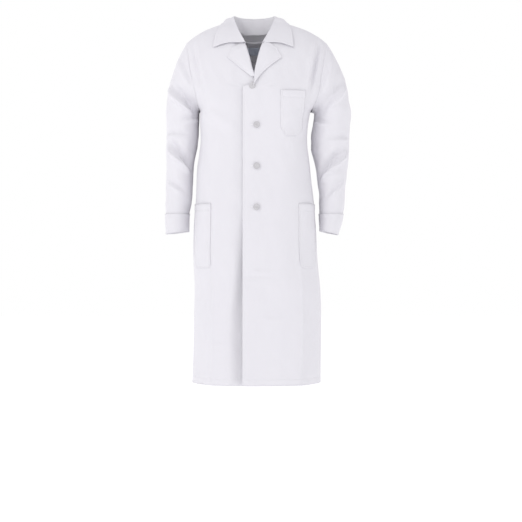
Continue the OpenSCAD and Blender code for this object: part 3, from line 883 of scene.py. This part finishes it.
def collar_raw(u, t):
    fold, edge, base = (line_at(u, FOLD_X, FOLD_Y, FOLD_Z), line_at(u, EDGE_X, EDGE_Y, EDGE_LINE_Z),
                        line_at(u, BASE_X, BASE_Y, BASE_Z))
    up, out = (fold - base).normalized(), (edge - fold).normalized()
    inner, outer = fold - up * FOLD_R, fold + out * FOLD_R
    if t < -FOLD_T:
        p = base.lerp(inner, (1 + t) / (1 - FOLD_T))
    elif t > FOLD_T:
        k = (t - FOLD_T) / (1 - FOLD_T)
        across = out.cross(Vector((0, 0, 1)).cross(out)).normalized()
        away = Vector((edge.x, edge.y, 0)).normalized() * 0.6 + Vector((0, 0, 0.8))
        p = outer.lerp(edge, k) + away * ((0.0035 + 0.0035 * abs(u)) * 16 * k * k * (1 - k) ** 2)
    else:
        k = (t + FOLD_T) / (2 * FOLD_T)
        p = inner * (1 - k) ** 2 + fold * 2 * k * (1 - k) + outer * k * k
    close = ease((abs(u) - 0.52) / 0.34) * ease((t + 0.10) / 0.25)
    if close > 0:
        x = min(abs(p.x), 0.150)
        z = min(p.z, smooth(x, SHOULDER) - 0.004)
        v = v_at(x, z)
        off = 0.0052 + 0.004 * max(0.0, 1 - t) * abs(u)
        rest = plain(-1, a_at(x, v), v) + outward(-1, a_at(x, v), v) * off
        p.y += (rest.y - p.y) * close
    p.x -= LEAN_X * bump(p.x, LEAN_REACH)
    return p


def collar_place(u, t, off=0.0):
    du, dt = 0.01, 0.02
    tu = collar_raw(min(1, u + du), t) - collar_raw(max(-1, u - du), t)
    tt = collar_raw(u, min(1, t + dt)) - collar_raw(u, max(-1, t - dt))
    normal = tu.cross(tt).normalized()
    leaf = LEAF_LONG * max(0.0, 1 - t)
    sides = LEAF_SIDE * max(0.0, 1 - abs(u))
    relief = roll(min(leaf, sides)) if t > 0.2 else 0.0
    return collar_raw(u, t) + normal * (off + relief)


END_STEPS = [0.92, 0.94, 0.95, 0.96, 0.97, 0.98, 0.99, 1]
u_steps = [-u for u in reversed(END_STEPS)] + steps(-0.9, 0.9, 90) + END_STEPS
leaf_steps = [-0.16, -0.10, -0.05, 0, 0.05, 0.10, 0.16] + steps(0.2, 0.86, 14)
leaf_steps += [0.88, 0.895, 0.905, 0.92, 0.935, 0.95, 0.97, 0.985, 1]
cloth("upper_collar_cloth", u_steps, leaf_steps, collar_place)
cloth("under_collar_cloth", steps(-0.99, 0.99, 60), steps(0.10, 0.975, 14),
      lambda u, t: collar_place(u, t, -0.0014))
cloth("collar_stand_cloth", steps(-0.995, 0.995, 70), steps(-1, -0.12, 12), collar_place, 0.0016)
print("collar made")

# %% [markdown]
# ## Back details
#
# A half belt lies across the waist, held by two buttons. Inside the neck are the facing, a hanging
# loop and a small label that says nothing but carries a woven border.

# %% Belt, neck facing, loop and label
BELT_Z, BELT_HALF, BELT_X = -0.430, 0.022, 0.112


def belt_place(s, t, off=0.0):
    x = BELT_X * s
    z = BELT_Z + BELT_HALF * t
    point = max(0.0, abs(x) - (BELT_X - 0.020)) / 0.020
    z = BELT_Z + (z - BELT_Z) * (1 - 0.42 * point ** 2)
    edge = min(BELT_HALF * (1 - abs(t)), BELT_X - abs(x))
    left = x >= 0
    return lie(1, left, abs(x), z, off + 0.0028 + 0.0022 * math.cos(math.pi * s / 2) + roll(edge))


belt_u = dense(-1, 1, 60, (1 - STITCH_FROM_EDGE / BELT_X, STITCH_FROM_EDGE / BELT_X - 1), 0.02)
belt_v = dense(-1, 1, 14, (1 - STITCH_FROM_EDGE / BELT_HALF, STITCH_FROM_EDGE / BELT_HALF - 1), 0.08)
cloth("back_belt_cloth", belt_u, belt_v, belt_place, 0.0017, flip=True)


def facing_place(s, t):
    """Neck facing: s across the back from -1 to 1, t from its lower edge up to the neck seam."""
    x = 0.098 * abs(s)
    low = -0.094 + 0.060 * s * s
    top = min(neck_top(x), smooth(x, SHOULDER) - 0.0012)
    return lie(1, s >= 0, x, low + (top - low) * t, -CLOTH_T - 0.0011)


cloth("neck_facing_cloth", steps(-1, 1, 44), steps(0, 1, 22), facing_place)


def label_place(s, t):
    return lie(1, s >= 0, abs(0.024 * s), -0.062 + 0.011 * t, -CLOTH_T - 0.0028)


cloth("label_cloth", steps(-1, 1, 16), steps(-1, 1, 8), label_place, 0.0004)


def loop_place(s, t):
    x = 0.029 * s
    p = lie(1, s >= 0, abs(x), -0.034, -0.0042)
    drop = 0.006 * (1 - s * s)
    return Vector((p.x, p.y - 0.010 * (1 - s * s), -0.0365 - drop + 0.0028 * t))


cloth("hanger_loop_cloth", steps(-1, 1, 28), steps(-1, 1, 4), loop_place, 0.0014)
print("belt, neck facing, label and loop made")

# %% [markdown]
# ## Cuffs
#
# A cuff is a doubled ring that stands a little proud of the sleeve end. Its lower edge is not quite
# level: on a hanging arm it drops towards the outer side.

# %% Cuffs
SLANT = {1: 0.0055, -1: 0.0035}
CUFF_CUT = 0.056


def cuff_place(q, t, side_x, off=0.0):
    """t runs from 0 at the seam to 1 at the lower edge."""
    z = CUFF_TOP_Z + 0.002 + (CUFF_END_Z - CUFF_TOP_Z - 0.002) * t
    p = arm_point(q, z, side_x)
    middle = (smooth(z, OUTER[side_x]) + smooth(z, INNER[side_x])) / 2
    centre = Vector((side_x * middle, smooth(z, SLEEVE_MID_Y), z))
    p.z -= SLANT[side_x] * math.cos(q) * t
    tall = CUFF_TOP_Z - CUFF_END_Z
    edge = min(t, 1 - t) * tall
    wave = 0.0012 * math.sin(3 * q + side_x) * t
    return p + (p - centre).normalized() * (off + 0.0006 + roll(edge) + wave)


cuff_v = dense(0, 1, 12, (STITCH_FROM_EDGE / CUFF_CUT, 1 - STITCH_FROM_EDGE / CUFF_CUT), 0.03)
cuff_q = [math.radians(d) for d in steps(0, 360, 96)]
for side_x, side_name in ((1, "left"), (-1, "right")):
    cloth(side_name + "_cuff_cloth", cuff_q, cuff_v, lambda q, t: cuff_place(q, t, side_x),
          0.0017, side_x < 0, True)
    cloth(side_name + "_cuff_lining", cuff_q, steps(0.05, 0.96, 6),
          lambda q, t: cuff_place(q, t, side_x, -0.0026), 0.0008, side_x < 0, True)
print("pieces so far:", len(pieces))

# %% [markdown]
# ## Stitches
#
# Every topstitched line is sewn: small stitches of thread, 3 mm apart, lie in the groove of the
# seam. A seam is given as a path, a function from 0 to 1 that lies on its piece of cloth.

# %% Sewing
STITCH_PITCH = 0.0030
STITCH_LONG = 0.0011
STITCH_THICK = 0.00034


def path_points(path, samples=160):
    pts = [path(k / samples) for k in range(samples + 1)]
    lengths = [0.0]
    for a, b in zip(pts, pts[1:]):
        lengths.append(lengths[-1] + (b - a).length)
    count = max(2, int(lengths[-1] / STITCH_PITCH))
    out, k = [], 0
    for i in range(count + 1):
        want = lengths[-1] * i / count
        while k < samples - 1 and lengths[k + 1] < want:
            k += 1
        span = lengths[k + 1] - lengths[k]
        out.append(pts[k].lerp(pts[k + 1], (want - lengths[k]) / span if span > 0 else 0))
    return out


def sew(name, paths):
    bm = bmesh.new()
    count = 0
    for path in paths:
        pts = path_points(path)
        for a, b in zip(pts, pts[1:]):
            way = b - a
            if way.length < 1e-5:
                continue
            turn = way.to_track_quat("X", "Z").to_matrix().to_4x4()
            size = Matrix.Diagonal((STITCH_LONG, STITCH_THICK, STITCH_THICK, 1))
            where = Matrix.Translation((a + b) / 2) @ turn @ size
            bmesh.ops.create_icosphere(bm, subdivisions=1, radius=1, matrix=where)
            count += 1
    mesh = bpy.data.meshes.new(name)
    bm.to_mesh(mesh)
    bm.free()
    piece = link(name, mesh)
    shade(piece)
    print(name, count, "stitches")
    return piece


UP = 0.00015


def front_path(left, x_in, z0, z1):
    """Down the closing edge of a front, a distance in from it."""
    def path(t):
        z = z0 + (z1 - z0) * t
        return lie(-1, left, front_edge(z) + x_in, z, UP + roll(x_in))
    return path


def hem_path(side, left, x0, x1):
    def path(t):
        x = x0 + (x1 - x0) * t
        return lie(side, left, x, HEM_Z + HEM_STITCH, UP - GROOVE_DEEP)
    return path


left_edge = [front_path(True, STITCH_FROM_EDGE, HEM_Z + 0.004, BREAK_Z - 0.004)]
right_edge = [front_path(False, STITCH_FROM_EDGE, HEM_Z + 0.004, BREAK_Z - 0.004)]
sew("left_front_stitches", left_edge + [hem_path(-1, True, -OVERLAP + 0.008, 0.190)])
sew("right_front_stitches", right_edge + [hem_path(-1, False, -OVERLAP + 0.008, 0.190)])
sew("left_back_stitches", [hem_path(1, True, 0.008, 0.190), lambda t: lie(
    1, True, STITCH_FROM_EDGE, HEM_Z + 0.004 + 1.06 * t, UP - GROOVE_DEEP)])
sew("right_back_stitches", [hem_path(1, False, 0.008, 0.190)])


def armhole_path(side_x, side):
    def path(t):
        v = 0.02 + 0.97 * t
        a = a_at(armhole_x(v) - 0.0062, v)
        p = plain(side, a, v)
        q = p + outward(side, a, v) * (UP + folds(side, p.x * side_x, p.z) - 0.0001)
        return lean(Vector((q.x * side_x, q.y, q.z)))
    return path


sew("armhole_stitches", [armhole_path(sx, side) for sx in (1, -1) for side in (-1, 1)])


def pocket_path(left, shape):
    x0, x1, top, low, corner, lift = shape
    wide, tall = x1 - x0, top - low
    e, f = STITCH_FROM_EDGE / wide, STITCH_FROM_EDGE / tall
    marks = [(e, 0.995), (e, f * 2.2), (e * 1.8, f), (1 - e * 1.8, f), (1 - e, f * 2.2), (1 - e, 0.995)]

    def path(t):
        k = min(4, int(t * 5))
        s, u = (marks[k][i] + (marks[k + 1][i] - marks[k][i]) * (t * 5 - k) for i in (0, 1))
        return pocket_place(left, s, u, *shape, UP)
    return path


def mouth_path(left, shape):
    tall = shape[2] - shape[3]
    return lambda t: pocket_place(left, 0.02 + 0.96 * t, 1 - MOUTH_BAND / tall, *shape, UP)


sew("pocket_stitches", [pocket_path(True, CHEST), mouth_path(True, CHEST), pocket_path(True, HIP),
                        mouth_path(True, HIP), pocket_path(False, HIP), mouth_path(False, HIP)])


def lapel_path(left):
    def path(t):
        k = 0.03 + 0.79 * t
        low = LAPEL_LOW[left]
        z_roll, z_edge = low + (GORGE_Z - low) * k, low + (TIP_Z - low) * min(1, k / TIP_T)
        reach = math.hypot(smooth(z_edge, LAPEL_EDGE) - smooth(z_roll, ROLL), z_edge - z_roll)
        return lapel_place(left, max(0.1, 1 - STITCH_FROM_EDGE / max(reach, 0.007)), k, UP)
    return path


def collar_path(t):
    u = 0.955 * (2 * t - 1)
    return collar_place(u, 1 - STITCH_FROM_EDGE / LEAF_LONG, UP)


sew("collar_stitches", [lapel_path(True), lapel_path(False), collar_path,
                        *(lambda t, u=u: collar_place(u, 0.32 + 0.58 * t, UP) for u in (0.958, -0.958))])
for side_x, side_name in ((1, "left"), (-1, "right")):
    tall = CUFF_TOP_Z - CUFF_END_Z
    sew(side_name + "_cuff_stitches",
        [lambda t, e=e: cuff_place(math.radians(360 * t), e, side_x, UP)
         for e in (STITCH_FROM_EDGE / tall, 1 - STITCH_FROM_EDGE / tall)])
b_u, b_v = 1 - STITCH_FROM_EDGE / BELT_X, 1 - STITCH_FROM_EDGE / BELT_HALF
sew("belt_stitches", [lambda t, k=k: belt_place(b_u * (2 * t - 1), k * b_v, UP) for k in (1, -1)]
    + [lambda t, k=k: belt_place(k * b_u, b_v * (2 * t - 1), UP) for k in (1, -1)])

# %% [markdown]
# ## Materials
#
# Shader sums are written as ordinary sums. `Value` wraps one number socket of a node tree, and its
# operators add Math nodes. `Tree` adds any other node with its settings and inputs, and mixes
# colours.

# %% Shader sums
class Value:
    def __init__(self, tree, socket):
        self.tree, self.socket = tree, socket

    def __add__(self, other):
        return self.tree.math("ADD", self, other)

    def __mul__(self, other):
        return self.tree.math("MULTIPLY", self, other)

    def sine(self):
        return self.tree.math("SINE", self)


class Tree:
    def __init__(self, name):
        self.material = bpy.data.materials.new(name)
        self.material.use_nodes = True
        self.nodes, self.links = self.material.node_tree.nodes, self.material.node_tree.links
        self.shader = self.nodes["Principled BSDF"]

    def put(self, socket, value):
        if isinstance(value, Value):
            value = value.socket
        if isinstance(value, bpy.types.NodeSocket):
            self.links.new(value, socket)
        else:
            socket.default_value = value

    def add(self, kind, settings=None, **inputs):
        node = self.nodes.new(kind)
        for key, value in (settings or {}).items():
            setattr(node, key, value)
        for key, value in inputs.items():
            self.put(node.inputs[key.replace("_", " ")], value)
        return node

    def math(self, kind, a, b=None):
        node = self.add("ShaderNodeMath", {"operation": kind})
        self.put(node.inputs[0], a)
        if b is not None:
            self.put(node.inputs[1], b)
        return Value(self, node.outputs[0])

    def mix(self, factor, a, b):
        node = self.add("ShaderNodeMix", {"data_type": "RGBA"})
        for k, value in ((0, factor), (6, a), (7, b)):
            self.put(node.inputs[k], value)
        return node.outputs[2]

    def uv(self):
        cloth_uv = self.add("ShaderNodeUVMap", {"uv_map": "cloth"})
        split = self.add("ShaderNodeSeparateXYZ", Vector=cloth_uv.outputs[0])
        return Value(self, split.outputs[0]), Value(self, split.outputs[1])

    def noise(self, scale, detail):
        vector = self.add("ShaderNodeTexCoord").outputs["Object"]
        node = self.add("ShaderNodeTexNoise", None, Vector=vector, Scale=scale, Detail=detail)
        return Value(self, node.outputs["Fac"])

    def bump(self, height, strength, distance):
        node = self.add("ShaderNodeBump", None, Height=height, Strength=strength, Distance=distance)
        self.put(self.shader.inputs["Normal"], node.outputs[0])

    def finish(self, **inputs):
        for key, value in inputs.items():
            self.put(self.shader.inputs[key.replace("_", " ")], value)
        return self.material


print("shader classes:", Value.__name__, "and", Tree.__name__)

# %% [markdown]
# The cloth is a plain poly-cotton twill. Its fine diagonal ribs and the two yarn directions are a
# bump, with a slight difference of yarn thickness, a little unevenness of colour and soft creases
# from wear.

# %% Cloth, thread, button and label
def twill(name, colour, shade_colour, pitch=0.00105, strength=0.30):
    t = Tree(name)
    u, v = t.uv()
    turn = 2 * math.pi / pitch
    ribs = (u * turn + v * turn * 1.15 + t.noise(90.0, 2.0) * 1.4).sine()
    yarn = (v * turn * 1.9).sine() * (u * turn * 1.9).sine()
    crumple = t.noise(26.0, 4.0)
    t.bump(ribs * 0.32 + yarn * 0.14 + crumple * 3.2, strength, 0.00042)
    uneven = t.noise(7.0, 5.0) * 0.6 + (ribs * 0.5 + 0.5) * 0.22
    base = t.mix(uneven, colour, shade_colour)
    return t.finish(Base_Color=base, Roughness=t.noise(60.0, 2.0) * 0.10 + 0.80, Sheen_Weight=0.18,
                    Sheen_Roughness=0.5, Specular_IOR_Level=0.22)


def spun(name, colour):
    t = Tree(name)
    fibre = t.noise(1400.0, 2.0)
    t.bump(fibre, 0.4, 0.0002)
    darker = tuple(c * 0.9 for c in colour[:3]) + (1,)
    return t.finish(Base_Color=t.mix(fibre, colour, darker), Roughness=0.62)


def resin():
    t = Tree("button_resin")
    cloud = t.noise(110.0, 4.0)
    base = t.mix(cloud, (0.66, 0.65, 0.67, 1), (0.54, 0.53, 0.55, 1))
    return t.finish(Base_Color=base, Roughness=cloud * 0.12 + 0.20, Coat_Weight=0.5, Coat_Roughness=0.12)


def woven_label():
    t = Tree("woven_label")
    v = t.uv()[1]
    line = (v * (2 * math.pi / 0.0009)).sine() * 0.5 + 0.5
    border = t.noise(900.0, 1.0)
    t.bump(line + border * 0.4, 0.4, 0.0002)
    return t.finish(Base_Color=t.mix(line, (0.55, 0.60, 0.72, 1), (0.68, 0.72, 0.80, 1)), Roughness=0.6)


WHITE = (0.786, 0.777, 0.812, 1)
WHITE_LOW = (0.758, 0.747, 0.786, 1)
coat_cloth = twill("coat_twill", WHITE, WHITE_LOW)
inner_cloth = twill("inner_twill", (0.73, 0.722, 0.757, 1), (0.70, 0.692, 0.73, 1))
interlining_cloth = twill("interlining_felt", (0.78, 0.77, 0.76, 1), (0.74, 0.73, 0.72, 1), 0.002, 0.5)
thread = spun("sewing_thread", (0.88, 0.875, 0.90, 1))
button_resin = resin()
label_weave = woven_label()
print("materials:", len(bpy.data.materials))

# %% [markdown]
# ## What each piece is made of
#
# Every piece gets its material. The buttons are the
# frame's own; the top one is drawn in under the crossing lapels.

# %% Finishes
def finish_piece(piece, material, slot_name):
    piece.data.materials.clear()
    piece.data.materials.append(material)


for name, piece in pieces.items():
    if "stitches" in name:
        finish_piece(piece, thread, "thread")
    elif name == "label_cloth":
        finish_piece(piece, label_weave, "label")
    elif name == "front_interlining":
        finish_piece(piece, interlining_cloth, "interlining")
    elif "facing" in name or "lining" in name or "underlap" in name:
        finish_piece(piece, inner_cloth, "inner_cloth")
    else:
        finish_piece(piece, coat_cloth, "coat_cloth")
TOP_BUTTON_MOVE = Vector((-0.0125, 0.0082, -0.0065))
for node_name, material, slot_name in (("front_buttons", button_resin, "button"),
                                       ("button_threads", thread, "thread")):
    mesh = NODES[node_name].data.copy()
    mesh.name = node_name + "_sewn"
    for vert in mesh.vertices:
        if vert.co.z > -0.23:
            vert.co += TOP_BUTTON_MOVE
    piece = link(mesh.name, mesh)
    finish_piece(piece, material, slot_name)
finish_piece(NODES["belt_buttons"], button_resin, "button")
finish_piece(NODES["buttonhole_stitches"], thread, "thread")
print("finished pieces:", len(pieces))

# %% [markdown]
# ## How the pieces move
#
# The skirt of each front folds back along a slanting line, the vent opens, the sleeves lift and the
# elbows bend. A piece that crosses such a line blends from one body to the next. The sleeve is cut
# into an upper and a lower piece above the elbow, with the same normals on both sides of the cut,
# so that each crosses one joint only.

# %% Sleeve cut
SPLIT_Z = -0.337


def cut_sleeve(side_name):
    whole = pieces.pop(side_name + "_sleeve_cloth")
    mesh = whole.data
    normals = np.zeros(len(mesh.loops) * 3, np.float32)
    mesh.corner_normals.foreach_get("vector", normals)
    normals = normals.reshape(-1, 3)
    centres = np.zeros(len(mesh.polygons) * 3, np.float32)
    mesh.polygons.foreach_get("center", centres)
    centres = centres.reshape(-1, 3)
    for part, keep in (("upper", centres[:, 2] >= SPLIT_Z), ("lower", centres[:, 2] < SPLIT_Z)):
        copy = mesh.copy()
        copy.name = side_name + "_" + part + "_sleeve_cloth"
        tag = copy.attributes.new("whole_normal", "FLOAT_VECTOR", "CORNER")
        tag.data.foreach_set("vector", normals.ravel())
        bm = bmesh.new()
        bm.from_mesh(copy)
        bm.faces.ensure_lookup_table()
        bmesh.ops.delete(bm, geom=[f for f in bm.faces if not keep[f.index]], context="FACES")
        bm.to_mesh(copy)
        bm.free()
        kept = np.zeros(len(copy.loops) * 3, np.float32)
        copy.attributes["whole_normal"].data.foreach_get("vector", kept)
        copy.normals_split_custom_set(kept.reshape(-1, 3).tolist())
        copy.attributes.remove(copy.attributes["whole_normal"])
        piece = link(copy.name, copy)
        finish_piece(piece, coat_cloth, "coat_cloth")
    bpy.data.objects.remove(whole)


cut_sleeve("left")
cut_sleeve("right")
print("sleeve pieces:", [name for name in pieces if "sleeve" in name])

# %% [markdown]
# A blend takes two points on the line across the fold: one body rules behind the first and the
# other beyond the second. A fold of cloth on the skirt or the vent is 35 mm wide, and the sleeves
# bend over a longer stretch.

# %% Riding and blending
SOFT = 0.035
left_line = (Vector((-0.041, -0.150, -0.590)), Vector((-0.954, 0, -0.298)))
right_line = (Vector((0.041, -0.150, -0.872)), Vector((0.893, 0, -0.450)))
vent_line = (Vector((-0.003, 0.150, -0.700)), Vector((0.970, 0, -0.240)))


def bend(name, body, line):
    start, way = line
    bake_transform(pieces[name], "coat_body", body, tuple(start), tuple(start + way * SOFT))


for name in ("left_front", "left_facing", "left_front_stitches"):
    bend(name, "left_skirt_flap", left_line)
for name in ("right_front", "right_facing", "right_front_stitches"):
    bend(name, "right_skirt_flap", right_line)
for name in ("right_back", "right_back_stitches"):
    bend(name, "vent_flap", vent_line)
for side_x, side_name in ((1, "left"), (-1, "right")):
    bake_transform(pieces[side_name + "_upper_sleeve_cloth"], "coat_body", side_name + "_sleeve",
             (side_x * 0.22, 0, -0.17), (side_x * 0.22, 0, -0.33))
    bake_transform(pieces[side_name + "_lower_sleeve_cloth"], side_name + "_sleeve", side_name + "_forearm",
             (side_x * 0.227, 0, -0.345), (side_x * 0.227, 0, -0.495))
    for name in ("_cuff_cloth", "_cuff_lining", "_cuff_stitches"):
        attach(pieces[side_name + name], side_name + "_forearm")
for name, piece in pieces.items():
    if piece.parent is None and "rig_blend" not in piece:
        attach(piece, "coat_body")

# %% [markdown]
# Each finished piece takes the place of one or more plain solids of the frame. The belt's buttons
# and the buttonholes' stitches are the frame's own and stay.

# %% What each piece replaces in the frame
REPLACES = {
    "left_front": ["left_front_panel", "left_front_flap"],
    "right_front": ["right_front_panel", "right_front_flap"],
    "left_back": ["left_back_panel"], "right_back": ["right_back_panel", "back_vent_flap"],
    "left_facing": ["left_front_facing", "left_flap_facing"],
    "right_facing": ["right_front_facing", "right_flap_facing"],
    "front_interlining": ["left_front_interlining"], "vent_underlap": ["back_vent_underlap"],
    "left_lapel_cloth": ["left_lapel"], "right_lapel_cloth": ["right_lapel"],
    "upper_collar_cloth": ["upper_collar"], "under_collar_cloth": ["under_collar"],
    "collar_stand_cloth": ["collar_stand"], "neck_facing_cloth": ["back_neck_facing"],
    "hanger_loop_cloth": ["hanger_loop"], "label_cloth": ["care_label"],
    "chest_pocket_cloth": ["chest_pocket"], "left_hip_pocket_cloth": ["left_hip_pocket"],
    "right_hip_pocket_cloth": ["right_hip_pocket"], "back_belt_cloth": ["back_belt"],
    "front_buttons_sewn": ["front_buttons"], "button_threads_sewn": ["button_threads"]}
for side_name in ("left", "right"):
    for part, nodes in (("_upper", ("_sleeve_head", "_sleeve_gather", "_upper_sleeve")),
                        ("_lower", ("_elbow_fold", "_forearm_sleeve"))):
        REPLACES[side_name + part + "_sleeve_cloth"] = [side_name + node for node in nodes]
    REPLACES[side_name + "_cuff_cloth"] = [side_name + "_cuff"]
    REPLACES[side_name + "_cuff_lining"] = [side_name + "_cuff_facing"]
for name, nodes in REPLACES.items():
    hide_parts(*nodes)
shown = [n for n, o in NODES.items() if not o.hide_render]
print("frame nodes still shown:", shown)

# %% [markdown]
# ## The cloth as it was cut
#
# Each piece of cloth is listed with the flat size of its cut, width by length, and its flat area
# where the cut isn't a rectangle. The sizes are measured along the cloth at its widest and longest,
# with no seam allowance. The hanging loop is a tape 6 mm wide, too narrow to count as a sheet.

# %% Cloth cuts
CUTS = {
    "left_front": (0.310, 1.090, 0.317, "hung", ["left_back"]),
    "right_front": (0.310, 1.090, 0.314, "hung", ["right_back"]),
    "left_back": (0.280, 1.090, 0.284, "hung", ["left_front"]),
    "right_back": (0.280, 1.090, 0.284, "hung", ["right_front"]),
    "left_facing": (0.074, 1.065, 0.0725, "hung", ["left_front"]),
    "right_facing": (0.074, 1.065, 0.0709, "hung", ["right_front"]),
    "front_interlining": (0.064, 0.355, None, "laid", ["left_front"]),
    "vent_underlap": (0.074, 0.370, None, "hung", ["left_back"]),
    "left_lapel_cloth": (0.070, 0.140, 0.0060, "folded", ["left_front"]),
    "right_lapel_cloth": (0.070, 0.115, 0.0053, "folded", ["right_front"]),
    "chest_pocket_cloth": (0.077, 0.137, 0.0104, "laid", ["left_front"]),
    "left_hip_pocket_cloth": (0.086, 0.192, 0.0161, "laid", ["left_front"]),
    "right_hip_pocket_cloth": (0.086, 0.192, 0.0162, "laid", ["right_front"]),
    "upper_collar_cloth": (0.460, 0.080, 0.0322, "folded", ["collar_stand_cloth"]),
    "under_collar_cloth": (0.450, 0.068, 0.0269, "folded", ["collar_stand_cloth"]),
    "collar_stand_cloth": (0.360, 0.054, 0.0119, "folded", ["left_back", "right_back"]),
    "back_belt_cloth": (0.236, 0.045, 0.0100, "laid", ["left_back", "right_back"]),
    "neck_facing_cloth": (0.210, 0.100, 0.0177, "laid", ["left_back", "right_back"]),
    "label_cloth": (0.050, 0.022, None, "laid", ["neck_facing_cloth"]),
    "left_upper_sleeve_cloth": (0.400, 0.280, 0.079, "gathered", ["left_front"]),
    "right_upper_sleeve_cloth": (0.400, 0.280, 0.076, "gathered", ["right_front"]),
    "left_lower_sleeve_cloth": (0.350, 0.236, 0.077, "gathered", ["left_upper_sleeve_cloth"]),
    "right_lower_sleeve_cloth": (0.350, 0.236, 0.075, "gathered", ["right_upper_sleeve_cloth"]),
    "left_cuff_cloth": (0.280, 0.056, None, "folded", ["left_lower_sleeve_cloth"]),
    "right_cuff_cloth": (0.280, 0.056, None, "folded", ["right_lower_sleeve_cloth"]),
    "left_cuff_lining": (0.270, 0.050, None, "folded", ["left_cuff_cloth"]),
    "right_cuff_lining": (0.270, 0.050, None, "folded", ["right_cuff_cloth"])}
for name, (wide, tall, area, held, on) in CUTS.items():
    measured = sum(face.area for face in pieces[name].data.polygons)
    print(f"{name}: cut {wide:.3f} by {tall:.3f} m, cloth {measured:.4f} m2")

# %% [markdown]
# ## Studio
#
# The room is white all round at eye level and dimmer above, with a pale floor. One large soft lamp
# stands at the front, on the wearer's right, and a weaker one opposite; two more light the back.

# %% Floor, world and lamps
FLOOR_Z = -1.53


def pale_floor():
    bm = bmesh.new()
    bmesh.ops.create_grid(bm, x_segments=1, y_segments=1, size=14)
    mesh = bpy.data.meshes.new("studio_floor")
    bm.to_mesh(mesh)
    bm.free()
    piece = bpy.data.objects.new("studio_floor", mesh)
    piece.location.z = FLOOR_Z
    scene.collection.objects.link(piece)
    t = Tree("studio_floor")
    mesh.materials.append(t.finish(Base_Color=(0.90, 0.90, 0.905, 1), Roughness=0.9,
                                   Emission_Color=(1, 1, 1, 1), Emission_Strength=0.36))
    piece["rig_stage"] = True


pale_floor()
world = bpy.data.worlds.new("studio_room")
world.use_nodes = True
world_nodes, world_links = world.node_tree.nodes, world.node_tree.links
where = world_nodes.new("ShaderNodeTexCoord")
parts = world_nodes.new("ShaderNodeSeparateXYZ")
world_links.new(where.outputs["Generated"], parts.inputs[0])
fade = world_nodes.new("ShaderNodeMapRange")
fade.interpolation_type = "SMOOTHSTEP"
for k, number in enumerate((0.30, 0.62, 0.0, 1.0)):
    fade.inputs[k + 1].default_value = number
world_links.new(parts.outputs[2], fade.inputs[0])
mix = world_nodes.new("ShaderNodeMix")
mix.data_type = "RGBA"
mix.inputs[6].default_value = (1.0, 1.0, 1.0, 1)
mix.inputs[7].default_value = (0.74, 0.73, 0.76, 1)
world_links.new(fade.outputs[0], mix.inputs[0])
world_links.new(mix.outputs[2], world_nodes["Background"].inputs["Color"])
world_nodes["Background"].inputs["Strength"].default_value = 1.0
scene.world = world


def lamp(name, place, aim, size, power, colour=(1, 1, 1)):
    data = bpy.data.lights.new(name, "AREA")
    data.size = size
    data.energy = power
    data.color = colour
    piece = bpy.data.objects.new(name, data)
    piece.location = place
    piece.rotation_euler = (Vector(aim) - Vector(place)).to_track_quat("-Z", "Y").to_euler()
    scene.collection.objects.link(piece)


lamp("key_lamp", (-2.0, -2.2, 1.4), (0, 0, -0.5), 1.0, 17, (1.0, 0.995, 0.985))
lamp("fill_lamp", (2.4, -2.4, 0.2), (0, 0, -0.6), 2.0, 2)
lamp("back_lamp", (-1.8, 2.6, 0.7), (0, 0, -0.5), 1.4, 10)
lamp("back_fill", (2.2, 2.2, 0.2), (0, 0, -0.6), 2.0, 2)
scene.view_settings.view_transform = "Standard"
print("studio ready")

# %% [markdown]
# Last, the box of the finished coat is kept beside the frame's, and the gaps between them are printed.

# %% Finish
sizes = {"cad": [list(p) for p in cad_box], "visual": [list(p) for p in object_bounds()]}
for axis in range(3):
    low_gap, high_gap = (sizes["visual"][k][axis] - sizes["cad"][k][axis] for k in (0, 1))
    print("XYZ"[axis], "off the frame in mm:", round(low_gap * 1000, 1), "and", round(high_gap * 1000, 1))
